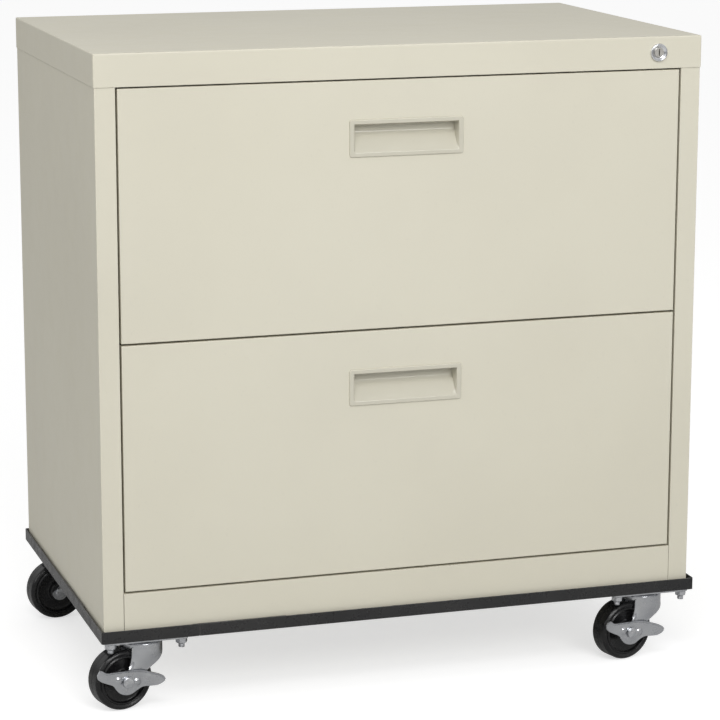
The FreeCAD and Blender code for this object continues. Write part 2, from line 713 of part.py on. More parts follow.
def innerCorner(label, side, plate):
    """A corner with two short arms that carry tongues."""
    lip = (RAIL, f"{RAIL} + rail_lip")
    flat = (RAIL, SEAT)
    edge_u, edge_v = f"-1 * {DOLLY_X}", f"-1 * {DOLLY_Y}"
    raised = (SEAT, f"{SEAT} + rail_wall")
    tongue_lip = (SEAT, f"{RAIL} + rail_lip")
    front = (edge_u, f"-1 * {SEAM_X}")
    flank = (edge_v, f"-1 * {SEAM_Y}")
    tongue_u = (f"-1 * {SEAM_X} - lap", f"-1 * {SEAM_X} + tongue")
    tongue_v = (f"-1 * {SEAM_Y} - lap", f"-1 * {SEAM_Y} + tongue")
    second_u, second_v = f"{edge_u} + rail_wall", f"{edge_v} + rail_wall"
    parts = [
        (front, (edge_v, second_v), lip), (front, (edge_v, f"{edge_v} + rail_flange"), flat),
        ((edge_u, second_u), flank, lip), ((edge_u, f"{edge_u} + rail_flange"), flank, flat),
        ((edge_u, f"{edge_u} + corner_plate"), (edge_v, f"{edge_v} + {plate}"), flat),
        (tongue_u, (second_v, f"{second_v} + rail_wall"), tongue_lip),
        (tongue_u, (second_v, f"{edge_v} + rail_flange"), raised),
        ((second_u, f"{second_u} + rail_wall"), tongue_v, tongue_lip),
        ((second_u, f"{edge_u} + rail_flange"), tongue_v, raised),
    ]
    finishCorner(label, side, parts, -1)


def outerCorner(label, side, plate):
    """A corner with one long front arm and one long side arm over the tongues."""
    lip = (RAIL, f"{RAIL} + rail_lip")
    flat = (RAIL, SEAT)
    edge_u, edge_v = DOLLY_X, f"-1 * {DOLLY_Y}"
    front = (f"-1 * {SEAM_X} + seam_gap", edge_u)
    flank = (edge_v, f"{SEAM_Y} - seam_gap")
    parts = [
        (front, (edge_v, f"{edge_v} + rail_wall"), lip), (front, (edge_v, f"{edge_v} + rail_flange"), flat),
        ((f"{edge_u} - rail_wall", edge_u), flank, lip), ((f"{edge_u} - rail_flange", edge_u), flank, flat),
        ((f"{edge_u} - corner_plate", edge_u), (edge_v, f"{edge_v} + {plate}"), flat),
    ]
    finishCorner(label, side, parts, 1)


def finishCorner(label, side, parts, hand):
    """Fuse a corner's strips, drill it and round its outer corner."""
    strips = [dollySlab(f"{label}_{number}", side, *part) for number, part in enumerate(parts)]
    tools = []
    for number, (x, y) in enumerate(casterBoltPlaces(hand * side, -side)):
        tools.append(rod(f"{label}_hole_{number}", "caster_hole", x, y, f"{RAIL} - 1", "rail_wall + 2"))
    for number, (x, y, along) in enumerate(railBoltPlaces()):
        name = f"{label}_slot_{number}"
        if hand < 0:
            tools.append(rod(name, "rail_hole", x, y, f"{RAIL} - 1", "2 * rail_wall + 2"))
            continue
        reach_x = "slot_length / 2" if along == "x" else "rail_hole"
        reach_y = "slot_length / 2" if along == "y" else "rail_hole"
        tools.append(slab(name, (f"{x} - {reach_x}", f"{x} + {reach_x}"),
                          (f"{y} - {reach_y}", f"{y} + {reach_y}"), (f"{RAIL} - 1", f"{SEAT} + 1")))
    drilled = cut(label + "_drilled", joined(label + "_strips", strips), tools)
    x = side * hand * value(DOLLY_X) + value("dolly_shift")
    y = -side * value(DOLLY_Y)
    nodeNamed(softened(label + "_soft", drilled, "rail_corner",
                       lambda edge: edgeAt(edge, "z", x=x, y=y)), label)


def casterMiddle(hand, face):
    """Where a caster swivels; hand is left or right, face is front or rear."""
    y = f"caster_inset_front - {DOLLY_Y}" if face < 0 else f"{DOLLY_Y} - caster_inset_rear"
    return f"dolly_shift + {hand} * ( {DOLLY_X} - caster_inset_x )", y


def casterBoltPlaces(hand, face):
    x, y = casterMiddle(hand, face)
    return [(f"{x} + {a} * bolt_spread_x", f"{y} + {b} * bolt_spread_y") for a in (-1, 1) for b in (-1, 1)]


def railBoltPlaces():
    """Two bolts through each of the four telescoping laps."""
    places = []
    for side in (-1, 1):
        for step in ("first_bolt", "second_bolt"):
            across = f"{side} * ( {step} - {SEAM_X} ) + dolly_shift"
            places.append((across, f"{side} * ( rail_bolt_inset - {DOLLY_Y} )", "x"))
            edge = f"{side} * ( rail_bolt_inset - {DOLLY_X} ) + dolly_shift"
            places.append((edge, f"{side} * ( {step} - {SEAM_Y} )", "y"))
    return places


def makeRailBolts():
    """Carriage bolts with their nuts, screwed up."""
    made = []
    for number, (x, y, along) in enumerate(railBoltPlaces()):
        shank = rod("rail_shank_%d" % number, "rail_bolt", x, y, f"{RAIL} - rail_nut_height - 2",
                    "2 * rail_wall + rail_nut_height + 3")
        head = rod("rail_head_%d" % number, "rail_head", x, y, BASE, "rail_head_height")
        nut = hexagon("rail_nut_%d" % number, "2 * rail_nut", x, y, f"{RAIL} - rail_nut_height",
                      "rail_nut_height")
        made.append(joined("rail_bolt_%d" % number, [shank, head, nut]))
    group = doc.addObject("Part::Compound", "rail_bolts_all")
    group.Links = made
    nodeNamed(group, "rail_bolts")


# ---------------------------------------------------------------- casters

PLATE = f"{RAIL} - plate_wall"
CROWN_TOP = f"{PLATE} - race_height - race_gap"
CROWN_FOOT = f"{CROWN_TOP} - crown_height"


def makeCasterBolts():
    made = []
    for hand in (-1, 1):
        for face in (-1, 1):
            for x, y in casterBoltPlaces(hand, face):
                tag = "caster_bolt_%d" % len(made)
                end = f"{PLATE} - nut_height - bolt_end"
                shank = rod(tag + "_shank", "caster_bolt", x, y, end, f"{SEAT} + 0.2 - ( {end} )")
                head = rod(tag + "_head", "bolt_head", x, y, SEAT, "bolt_head_height")
                nut = hexagon(tag + "_nut", "nut_flats", x, y, f"{PLATE} - nut_height", "nut_height")
                made.append(joined(tag, [shank, head, nut]))
    group = doc.addObject("Part::Compound", "caster_bolts_all")
    group.Links = made
    nodeNamed(group, "caster_bolts")


def makeCaster(label, hand, face, braked):
    """One plate caster, its trail along its own -X before it is swivelled."""
    x, y = casterMiddle(hand, face)
    turn = TURNS[label]
    makeCasterPlate(label, x, y)
    makeFork(label, x, y, turn)
    makeWheel(label, x, y, turn)
    makeAxle(label, x, y, turn, braked)
    if braked:
        makeBrakeLever(label, x, y, turn)


def makeCasterPlate(label, x, y):
    body = newBody(label + "_plate")
    plate = newSketch(body, "XY_Plane", PLATE)
    outline(plate, [("-plate_length / 2", "-plate_width / 2"), ("plate_length / 2", "-plate_width / 2"),
                    ("plate_length / 2", "plate_width / 2"), ("-plate_length / 2", "plate_width / 2")])
    for a in (-1, 1):
        for b in (-1, 1):
            ring(plate, (f"{a} * bolt_spread_x", f"{b} * bolt_spread_y"), "caster_hole")
    grown(body, "Pad", plate, "plate_wall")
    far = value("plate_length / 2")
    rounded(body, "plate_corner",
            lambda edge: runsAlong(edge, "z") and near(abs(edge.Vertexes[0].Point.x), far))
    race = newSketch(body, "XY_Plane", f"{PLATE} - race_height")
    ring(race, ("0", "0"), "race")
    grown(body, "Pad", race, "race_height + plate_wall / 2")
    pin_start = f"{CROWN_FOOT} + king_head_height + 0.6"
    stem = newSketch(body, "XY_Plane", pin_start)
    ring(stem, ("0", "0"), "king_pin")
    grown(body, "Pad", stem, f"{PLATE} - ( {pin_start} )")
    head = newSketch(body, "XY_Plane", f"{pin_start} - king_head_height")
    ring(head, ("0", "0"), "king_head")
    grown(body, "Pad", head, "king_head_height")
    placed(body, x, y, "0")


def makeFork(label, x, y, turn):
    """A pressed yoke: a round crown with two legs that hold the axle."""
    body = newBody(label + "_fork")
    legs = newSketch(body, "XZ_Plane")
    outline(legs, [("-0.98 * crown", CROWN_TOP), ("-trail + 3", "wheel + 1.6 * axle_boss"),
                   ("-trail - 0.95 * axle_boss", "wheel + 0.45 * axle_boss"),
                   ("-trail - 0.95 * axle_boss", "wheel - 0.45 * axle_boss"),
                   ("-trail - 0.45 * axle_boss", "wheel - 0.95 * axle_boss"),
                   ("-trail + 0.45 * axle_boss", "wheel - 0.95 * axle_boss"),
                   ("-0.35 * crown", "wheel + 0.3 * axle_boss"), ("0.42 * crown", "wheel + 1.5 * axle_boss"),
                   ("0.86 * crown", "wheel + 2.8 * axle_boss"), ("0.98 * crown", CROWN_TOP)])
    grown(body, "Pad", legs, "2 * fork_half", middle=True)
    gap = newSketch(body, "XZ_Plane")
    outline(gap, [("-trail - 3 * axle_boss", "0"), ("2 * crown", "0"), ("2 * crown", CROWN_FOOT),
                  ("-trail - 3 * axle_boss", CROWN_FOOT)])
    grown(body, "Pocket", gap, "2 * ( fork_half - fork_wall )", middle=True)
    crown = newSketch(body, "XY_Plane", CROWN_FOOT)
    ring(crown, ("0", "0"), "crown")
    grown(body, "Pad", crown, "crown_height")
    recess = newSketch(body, "XY_Plane", CROWN_FOOT)
    ring(recess, ("0", "0"), "king_head + 1")
    grown(body, "Pocket", recess, "king_head_height + 1", backwards=True)
    bore = newSketch(body, "XY_Plane", CROWN_TOP)
    ring(bore, ("0", "0"), "king_pin + pin_fit")
    grown(body, "Pocket", bore, "crown_height")
    axle = newSketch(body, "XZ_Plane")
    ring(axle, ("-trail", "wheel"), "axle + axle_fit")
    grown(body, "Pocket", axle, "4 * fork_half", middle=True)
    placed(body, x, y, "0", turn)


def makeWheel(label, x, y, turn):
    """A one-piece hard wheel: hub, thin web and rounded tread."""
    body = newBody(label + "_wheel")
    profile = newSketch(body, "XY_Plane")
    rim = "wheel - rim_depth"
    bore = "axle + axle_fit"
    half = [(bore, "hub_half"), ("hub", "hub_half"), ("hub", "web_half"), (rim, "web_half"),
            (rim, "tread_half"), ("wheel - tread_round", "tread_half"),
            ("wheel - tread_round / 4", "tread_half - tread_round / 2"),
            ("wheel", "tread_half - 1.5 * tread_round")]
    mirrored = [(radius, f"-1 * ( {along} )") for radius, along in half]
    outline(profile, mirrored + half[::-1])
    turned(body, profile, "Y_Axis")
    hub_x, hub_y = hubPlace(x, y, turn)
    placed(body, hub_x, hub_y, "wheel", turn)


def makeAxle(label, x, y, turn, braked):
    """A shouldered axle bolt with its nut; a braked caster's holds the lever too."""
    body = newBody(label + "_axle")
    profile = newSketch(body, "XY_Plane")
    outer = "-fork_half - lever_gap - lever_wall - 0.3" if braked else "-fork_half - 0.2"
    inner = "fork_half + 0.2"
    outline(profile, [("0", f"{outer} - axle_head_height"), ("axle_head", f"{outer} - axle_head_height"),
                      ("axle_head", outer), ("axle", outer), ("axle", inner), ("axle_head", inner),
                      ("axle_head", f"{inner} + axle_head_height"), ("0", f"{inner} + axle_head_height")])
    turned(body, profile, "Y_Axis")
    hub_x, hub_y = hubPlace(x, y, turn)
    placed(body, hub_x, hub_y, "wheel", turn)


def hubPlace(x, y, turn):
    """Where the wheel's centre comes once the caster has swivelled."""
    return f"{x} - trail * cos({turn} deg)", f"{y} - trail * sin({turn} deg)"


def makeBrakeLever(label, x, y, turn):
    """A stamped strip with both ends flared away from the wheel."""
    near_face = "-fork_half - lever_gap"
    far_face = f"{near_face} - lever_wall"
    bent = newStray(label + "_lever_bend", "XY_Plane", "-2 * lever_rise")
    near_tip, far_tip = f"{near_face} - lever_flare", f"{far_face} - lever_flare"
    outline(bent, [("-lever_ear", near_tip), ("-lever_flat", near_face), ("lever_flat", near_face),
                   ("lever_pedal", near_tip), ("lever_pedal", far_tip), ("lever_flat", far_face),
                   ("-lever_flat", far_face), ("-lever_ear", far_tip)])
    side = newStray(label + "_lever_side", "XZ_Plane", "0")
    outline(side, [("-lever_ear", "lever_rise - 2"), ("-lever_ear + 1", "lever_rise - lever_tip - 6"),
                   ("-lever_flat - 8", "-2"), ("-0.9 * lever_drop", "-0.45 * lever_drop"),
                   ("-0.45 * lever_drop", "-0.9 * lever_drop"), ("0.45 * lever_drop", "-0.9 * lever_drop"),
                   ("0.9 * lever_drop", "-0.45 * lever_drop"), ("lever_flat + 8", "-lever_tip / 2"),
                   ("lever_pedal - 4", "-lever_tip / 2 - 1"), ("lever_pedal", "lever_tip / 2"),
                   ("lever_flat + 8", "lever_rise - 3"), ("lever_flat", "lever_rise"),
                   ("-lever_flat", "lever_rise"), ("-lever_flat - 10", "lever_rise")])
    ring(side, ("0", "0"), "axle + axle_fit")
    doc.recompute()
    blank = extruded(label + "_lever_blank", bent, "4 * lever_rise", False)
    stamp = extruded(label + "_lever_stamp", side, "8 * fork_half", True)
    both = doc.addObject("Part::Common", label + "_lever_common")
    both.Base = blank
    both.Tool = stamp
    nodeNamed(both, label + "_brake_lever")
    hub_x, hub_y = hubPlace(x, y, turn)
    lean = FreeCAD.Rotation(FreeCAD.Vector(0, 1, 0), value("lever_tilt"))
    spin = FreeCAD.Rotation(FreeCAD.Vector(0, 0, 1), turn)
    both.Placement = FreeCAD.Placement(FreeCAD.Vector(0, 0, 0), spin.multiply(lean))
    for axis, place in (("x", hub_x), ("y", hub_y), ("z", "wheel")):
        bind(both, f"Placement.Base.{axis}", place)


def newStray(name, plane, offset):
    """A sketch outside any body, laid on a principal plane."""
    sketch = doc.addObject("Sketcher::SketchObject", name)
    turn = FreeCAD.Rotation(FreeCAD.Vector(1, 0, 0), 90 if plane == "XZ_Plane" else 0)
    sketch.Placement = FreeCAD.Placement(FreeCAD.Vector(0, 0, 0), turn)
    if plane == "XY_Plane":
        bind(sketch, "Placement.Base.z", offset)
    return sketch


def extruded(name, sketch, length, both_ways):
    made = doc.addObject("Part::Extrusion", name)
    made.Base = sketch
    made.DirMode = "Normal"
    made.Solid = True
    made.Symmetric = both_ways
    bind(made, "LengthFwd", length)
    return made


# ---------------------------------------------------------------- build


def makeAll():
    makeSidePanels()
    makeBackPanel()
    makeTopCap()
    makeBottomPan()
    makeKickRail()
    makeRearPosts()
    makeGlides()
    for name, foot in (("upper", UPPER), ("lower", LOWER)):
        makeDrawer(name, foot)
        makeSlides(name, foot)
    makeLock()
    innerCorner("front_left_rail", 1, "front_plate")
    outerCorner("front_right_rail", 1, "front_plate")
    innerCorner("rear_right_rail", -1, "rear_plate")
    outerCorner("rear_left_rail", -1, "rear_plate")
    makeRailBolts()
    makeCasterBolts()
    makeCaster("front_left_caster", -1, -1, True)
    makeCaster("front_right_caster", 1, -1, True)
    makeCaster("rear_left_caster", -1, 1, False)
    makeCaster("rear_right_caster", 1, 1, False)


def checkAll():
    """Stop before anything is written if a feature failed or a shape is unsound."""
    doc.recompute()
    for thing in doc.Objects:
        bad = [state for state in thing.State if state in ("Invalid", "Error")]
        if bad:
            raise RuntimeError("%s failed: %s" % (thing.Name, bad))
    for node in NODES:
        if node.Shape.isNull() or not node.Shape.isValid() or not node.Shape.Solids:
            raise RuntimeError(node.Label + " has no sound shape")


def writeAll():
    os.makedirs("parts", exist_ok=True)
    for node in NODES:
        node.Shape.exportStep(os.path.join("parts", node.Label + ".step"))
        print("%-36s %d solid(s) %12.0f mm3" % (node.Label, len(node.Shape.Solids), node.Shape.Volume))


fillSheet()
makeAll()
checkAll()
writeAll()
print(len(NODES), "sub-parts")
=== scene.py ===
import json
import math

import bmesh
import bpy
from mathutils import Matrix, Vector


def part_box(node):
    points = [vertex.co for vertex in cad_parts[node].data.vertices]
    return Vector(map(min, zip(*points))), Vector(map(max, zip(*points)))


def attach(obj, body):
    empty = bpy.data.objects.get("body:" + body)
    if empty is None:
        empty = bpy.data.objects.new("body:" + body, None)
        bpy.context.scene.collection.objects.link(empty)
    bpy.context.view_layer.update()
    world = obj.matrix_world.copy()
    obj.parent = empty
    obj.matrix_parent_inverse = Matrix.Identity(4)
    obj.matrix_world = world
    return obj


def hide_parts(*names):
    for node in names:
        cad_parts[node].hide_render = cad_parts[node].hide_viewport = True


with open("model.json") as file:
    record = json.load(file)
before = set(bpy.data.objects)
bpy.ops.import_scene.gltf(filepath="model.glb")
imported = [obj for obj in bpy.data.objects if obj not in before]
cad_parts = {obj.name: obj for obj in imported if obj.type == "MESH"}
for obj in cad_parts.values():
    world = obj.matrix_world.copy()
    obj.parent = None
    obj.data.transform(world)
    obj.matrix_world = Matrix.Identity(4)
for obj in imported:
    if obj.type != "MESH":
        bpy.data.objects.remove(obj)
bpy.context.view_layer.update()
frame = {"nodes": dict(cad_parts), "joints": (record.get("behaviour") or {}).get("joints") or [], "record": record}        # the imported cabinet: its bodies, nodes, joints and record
joints = {joint["name"]: joint for joint in frame["joints"]}
bodies = frame["record"]["behaviour"]["bodies"]
bodyOf = {node: body for body, members in bodies.items() for node in members}
slotOf = {part["node"]: part["material_slot"] for part in frame["record"]["subparts"]}
corners = ["front_left", "front_right", "rear_left", "rear_right"]
print("frame loaded:", len(frame["nodes"]), "nodes")


# Small helpers for numbers

def blendBetween(low, high, share):
    return low + (high - low) * share


def eased(share):
    share = min(max(share, 0.0), 1.0)
    return share * share * (3 - 2 * share)


def crowded(share):
    # even steps drawn together towards both ends
    return 0.5 - 0.5 * math.cos(math.pi * share)


def through(keys, place):
    # a smooth line through (place, value) keys
    index = 0
    while index < len(keys) - 2 and place > keys[index + 1][0]:
        index += 1
    (a, low), (b, high) = keys[index], keys[index + 1]
    before, after = keys[max(index - 1, 0)], keys[min(index + 2, len(keys) - 1)]
    width = b - a
    share = min(max((place - a) / width, 0.0), 1.0)
    leaving = (high - before[1]) / (b - before[0]) * width
    arriving = (after[1] - low) / (after[0] - a) * width
    square, cube = share * share, share ** 3
    return (low * (2 * cube - 3 * square + 1) + leaving * (cube - 2 * square + share)
            + high * (3 * square - 2 * cube) + arriving * (cube - square))


def arc(centreR, centreY, radius, start, end, steps):
    # points (radius, along) on a round stretch of a lathe profile, angles in degrees
    found = []
    for step in range(steps + 1):
        angle = math.radians(blendBetween(start, end, step / steps))
        found.append((centreR + radius * math.cos(angle), centreY + radius * math.sin(angle)))
    return found


# Shader effects that several finishes share

def newGroup(name, inputs, outputs):
    group = bpy.data.node_groups.new(name, "ShaderNodeTree")
    for label, kind, value in inputs:
        socket = group.interface.new_socket(name=label, in_out="INPUT", socket_type=kind)
        if value is not None:
            socket.default_value = value
    for label, kind in outputs:
        group.interface.new_socket(name=label, in_out="OUTPUT", socket_type=kind)
    return group, group.nodes.new("NodeGroupInput"), group.nodes.new("NodeGroupOutput")


def addNoise(group, source, scale, detail=2.0, roughness=0.5):
    noise = group.nodes.new("ShaderNodeTexNoise")
    group.links.new(source.outputs["Vector"], noise.inputs["Vector"])
    group.links.new(source.outputs[scale], noise.inputs["Scale"])
    noise.inputs["Detail"].default_value = detail
    noise.inputs["Roughness"].default_value = roughness
    return noise.outputs["Fac"]


def addMath(group, kind, first, second):
    node = group.nodes.new("ShaderNodeMath")
    node.operation = kind
    for socket, value in zip(node.inputs, (first, second)):
        if isinstance(value, (int, float)):
            socket.default_value = value
        else:
            group.links.new(value, socket)
    return node.outputs[0]


def addRange(group, value, fromLow, fromHigh, low=0.0, high=1.0):
    node = group.nodes.new("ShaderNodeMapRange")
    node.interpolation_type = "SMOOTHSTEP"
    group.links.new(value, node.inputs["Value"])
    for label, number in (("From Min", fromLow), ("From Max", fromHigh), ("To Min", low),
                          ("To Max", high)):
        node.inputs[label].default_value = number
    return node.outputs["Result"]


# where each pattern's plain value starts and stops counting as a mask
maskSpans = {"drift": (0.3, 0.7), "speck": (0.70, 0.76), "turn": (0.995, 0.90),
             "break": (0.34, 0.62, 0.25, 1.0), "film": (0.42, 0.72), "smear": (0.35, 0.75),
             "scratch": (0.66, 0.74), "cloud": (0.3, 0.7), "line": (0.3, 0.7)}
scratchStretch, scratchTurn = (1.0, 9.0, 14.0), (0.5, 0.3, 0.7)


def makePowderGroup():
    # sprayed powder: fine pebbling, slow colour drift and a rare darker speck
    inputs = [("Vector", "NodeSocketVector", None), ("Pebble Scale", "NodeSocketFloat", 650.0),
              ("Drift Scale", "NodeSocketFloat", 3.0), ("Speck Scale", "NodeSocketFloat", 240.0)]
    outputs = [("Pebble", "NodeSocketFloat"), ("Drift", "NodeSocketFloat"), ("Speck", "NodeSocketFloat")]
    group, given, result = newGroup("powderCoat", inputs, outputs)
    group.links.new(addNoise(group, given, "Pebble Scale", 2.0, 0.55), result.inputs["Pebble"])
    drift = addRange(group, addNoise(group, given, "Drift Scale", 3.0), *maskSpans["drift"])
    group.links.new(drift, result.inputs["Drift"])
    speck = addRange(group, addNoise(group, given, "Speck Scale", 1.0), *maskSpans["speck"])
    group.links.new(speck, result.inputs["Speck"])
    return group


def makeEdgeWearAndHighlightGroup():
    # where the surface turns sharply the coating is thinner and rubbed, and painted lighter: partly edge
    # wear, partly a painted highlight line along the edges
    inputs = [("Vector", "NodeSocketVector", None), ("Reach", "NodeSocketFloat", 0.0012),
              ("Break Scale", "NodeSocketFloat", 120.0)]
    group, given, result = newGroup("edgeWearAndHighlight", inputs, [("Wear And Highlight", "NodeSocketFloat")])
    soft = group.nodes.new("ShaderNodeBevel")
    soft.samples = 4
    plain = group.nodes.new("ShaderNodeNewGeometry")
    group.links.new(given.outputs["Reach"], soft.inputs["Radius"])
    dot = group.nodes.new("ShaderNodeVectorMath")
    dot.operation = "DOT_PRODUCT"
    group.links.new(soft.outputs["Normal"], dot.inputs[0])
    group.links.new(plain.outputs["Normal"], dot.inputs[1])
    turning = addRange(group, dot.outputs["Value"], *maskSpans["turn"])
    broken = addRange(group, addNoise(group, given, "Break Scale", 4.0, 0.65), *maskSpans["break"])
    group.links.new(addMath(group, "MULTIPLY", turning, broken), result.inputs["Wear And Highlight"])
    return group


def makeHandlingGroup():
    # thin films, smears and fine scratches that handling leaves
    inputs = [("Vector", "NodeSocketVector", None), ("Film Scale", "NodeSocketFloat", 9.0),
              ("Smear Scale", "NodeSocketFloat", 42.0), ("Scratch Scale", "NodeSocketFloat", 30.0)]
    outputs = [("Film", "NodeSocketFloat"), ("Smear", "NodeSocketFloat"), ("Scratch", "NodeSocketFloat")]
    group, given, result = newGroup("handling", inputs, outputs)
    film = addRange(group, addNoise(group, given, "Film Scale", 4.0, 0.6), *maskSpans["film"])
    group.links.new(film, result.inputs["Film"])
    smear = addRange(group, addNoise(group, given, "Smear Scale", 5.0, 0.7), *maskSpans["smear"])
    group.links.new(smear, result.inputs["Smear"])
    stretched = group.nodes.new("ShaderNodeMapping")
    stretched.inputs["Scale"].default_value = scratchStretch
    stretched.inputs["Rotation"].default_value = scratchTurn
    group.links.new(given.outputs["Vector"], stretched.inputs["Vector"])
    fine = group.nodes.new("ShaderNodeTexNoise")
    group.links.new(stretched.outputs["Vector"], fine.inputs["Vector"])
    group.links.new(given.outputs["Scratch Scale"], fine.inputs["Scale"])
    fine.inputs["Detail"].default_value = 3.0
    scratch = addRange(group, fine.outputs["Fac"], *maskSpans["scratch"])
    group.links.new(scratch, result.inputs["Scratch"])
    return group


def makePlatingGroup():
    # zinc or chrome plate over pressed steel: soft clouds, small crystals and drawing lines
    inputs = [("Vector", "NodeSocketVector", None), ("Cloud Scale", "NodeSocketFloat", 70.0),
              ("Crystal Scale", "NodeSocketFloat", 420.0), ("Line Stretch", "NodeSocketVector", None)]
    outputs = [("Cloud", "NodeSocketFloat"), ("Crystal", "NodeSocketFloat"), ("Line", "NodeSocketFloat")]
    group, given, result = newGroup("plating", inputs, outputs)
    cloud = addRange(group, addNoise(group, given, "Cloud Scale", 3.0), *maskSpans["cloud"])
    group.links.new(cloud, result.inputs["Cloud"])
    crystal = group.nodes.new("ShaderNodeTexVoronoi")
    group.links.new(given.outputs["Vector"], crystal.inputs["Vector"])
    group.links.new(given.outputs["Crystal Scale"], crystal.inputs["Scale"])
    group.links.new(crystal.outputs["Distance"], result.inputs["Crystal"])
    scaled = group.nodes.new("ShaderNodeVectorMath")
    scaled.operation = "MULTIPLY"
    group.links.new(given.outputs["Vector"], scaled.inputs[0])
    group.links.new(given.outputs["Line Stretch"], scaled.inputs[1])
    lines = group.nodes.new("ShaderNodeTexNoise")
    group.links.new(scaled.outputs["Vector"], lines.inputs["Vector"])
    lines.inputs["Scale"].default_value = 1.0
    lines.inputs["Detail"].default_value = 3.0
    group.links.new(addRange(group, lines.outputs["Fac"], *maskSpans["line"]), result.inputs["Line"])
    return group


powderCoat = makePowderGroup()
edgeWearAndHighlight = makeEdgeWearAndHighlightGroup()
handling = makeHandlingGroup()
plating = makePlatingGroup()
print("shared shader groups made")


# Finishes

def startMaterial(name, settings):
    made = bpy.data.materials.new(name)
    made.use_nodes = True
    shader = made.node_tree.nodes["Principled BSDF"]
    for label, value in settings.items():
        shader.inputs[label].default_value = value
    coords = made.node_tree.nodes.new("ShaderNodeTexCoord")
    return made, shader, coords.outputs["Object"]


def placeGroup(made, group, coords, values):
    node = made.node_tree.nodes.new("ShaderNodeGroup")
    node.node_tree = group
    made.node_tree.links.new(coords, node.inputs["Vector"])
    for label, value in values.items():
        node.inputs[label].default_value = value
    return node


def addMix(made, share, first, second, strength=1.0):
    # colour between two, by a mask that may be weakened
    tree = made.node_tree
    node = tree.nodes.new("ShaderNodeMix")
    node.data_type = "RGBA"
    if strength < 1.0:
        share = addMath(tree, "MULTIPLY", share, strength)
    tree.links.new(share, node.inputs[0])
    for socket, value in ((node.inputs[6], first), (node.inputs[7], second)):
        if isinstance(value, tuple):
            socket.default_value = value
        else:
            tree.links.new(value, socket)
    return node.outputs[2]


def addBump(made, shader, height, distance, strength=1.0, under=None):
    tree = made.node_tree
    node = tree.nodes.new("ShaderNodeBump")
    node.inputs["Strength"].default_value = strength
    node.inputs["Distance"].default_value = distance
    tree.links.new(height, node.inputs["Height"])
    if under is not None:
        tree.links.new(under, node.inputs["Normal"])
    tree.links.new(node.outputs["Normal"], shader.inputs["Normal"])
    return node.outputs["Normal"]


def addGloss(made, shader, mask, span, extra=None):
    # roughness that wanders between two values, by a mask
    low, high = span
    tree = made.node_tree
    level = addRange(tree, mask, 0.0, 1.0, low, high)
    if extra is not None:
        level = addMath(tree, "ADD", level, extra)
    tree.links.new(level, shader.inputs["Roughness"])


puttyLook = {"base": (0.668, 0.640, 0.530, 1), "drift": (0.650, 0.620, 0.508, 1),
             "speck": (0.52, 0.50, 0.42, 1), "film": (0.60, 0.575, 0.49, 1),
             "filmShare": 0.15, "speckShare": 0.10, "pebble": 0.00006, "rough": (0.42, 0.50)}


def makePutty(name, look):
    made, shader, coords = startMaterial(name, {"Metallic": 0.0, "IOR": 1.48})
    powder = placeGroup(made, powderCoat, coords, {"Pebble Scale": 620.0, "Drift Scale": 2.6})
    dirt = placeGroup(made, handling, coords, {"Film Scale": 5.0, "Smear Scale": 24.0})
    colour = addMix(made, powder.outputs["Drift"], look["base"], look["drift"])
    colour = addMix(made, dirt.outputs["Film"], colour, look["film"], look["filmShare"])
    colour = addMix(made, powder.outputs["Speck"], colour, look["speck"], look["speckShare"])
    made.node_tree.links.new(colour, shader.inputs["Base Color"])
    addGloss(made, shader, dirt.outputs["Smear"], look["rough"])
    addBump(made, shader, powder.outputs["Pebble"], look["pebble"])
    return made


pullLook = {"base": (0.575, 0.552, 0.458, 1), "drift": (0.565, 0.541, 0.447, 1), "grain": 0.000015,
            "rough": (0.25, 0.27)}


def makePullPlastic(look):
    made, shader, coords = startMaterial("pullPlastic", {"IOR": 1.52, "Coat Weight": 0.25,
                                                         "Coat Roughness": 0.18})
    powder = placeGroup(made, powderCoat, coords, {"Pebble Scale": 1500.0, "Drift Scale": 30.0})
    dirt = placeGroup(made, handling, coords, {"Film Scale": 40.0, "Smear Scale": 110.0})
    colour = addMix(made, powder.outputs["Drift"], look["base"], look["drift"])
    made.node_tree.links.new(colour, shader.inputs["Base Color"])
    addGloss(made, shader, dirt.outputs["Smear"], look["rough"])
    addBump(made, shader, powder.outputs["Pebble"], look["grain"])
    return made


blackLook = {"base": (0.020, 0.020, 0.0205, 1), "drift": (0.026, 0.026, 0.0265, 1),
             "wornAndHighlight": (0.20, 0.195, 0.19, 1), "dust": (0.050, 0.048, 0.046, 1), "rough": (0.26, 0.38),
             "dustShare": 0.22, "wornAndHighlightShare": 0.55, "gloss": 0.32, "pebble": 0.00006,
             "scratch": -0.00004, "scratchShare": 0.5}


def makeBlackPaint(name, look):
    made, shader, coords = startMaterial(name, {"IOR": 1.5, "Specular IOR Level": look["gloss"]})
    powder = placeGroup(made, powderCoat, coords, {"Pebble Scale": 700.0, "Drift Scale": 9.0})
    wearAndHighlight = placeGroup(made, edgeWearAndHighlight, coords, {"Reach": 0.0011, "Break Scale": 90.0})
    dirt = placeGroup(made, handling, coords, {"Film Scale": 14.0, "Smear Scale": 60.0})
    colour = addMix(made, powder.outputs["Drift"], look["base"], look["drift"])
    colour = addMix(made, dirt.outputs["Film"], colour, look["dust"], look["dustShare"])
    # lighter sharp edges: partly rubbed paint, partly a painted highlight line along the rail edges
    colour = addMix(made, wearAndHighlight.outputs["Wear And Highlight"], colour, look["wornAndHighlight"], look["wornAndHighlightShare"])
    made.node_tree.links.new(colour, shader.inputs["Base Color"])
    addGloss(made, shader, dirt.outputs["Smear"], look["rough"])
    under = addBump(made, shader, powder.outputs["Pebble"], look["pebble"])
    addBump(made, shader, dirt.outputs["Scratch"], look["scratch"], look["scratchShare"], under)
    return made


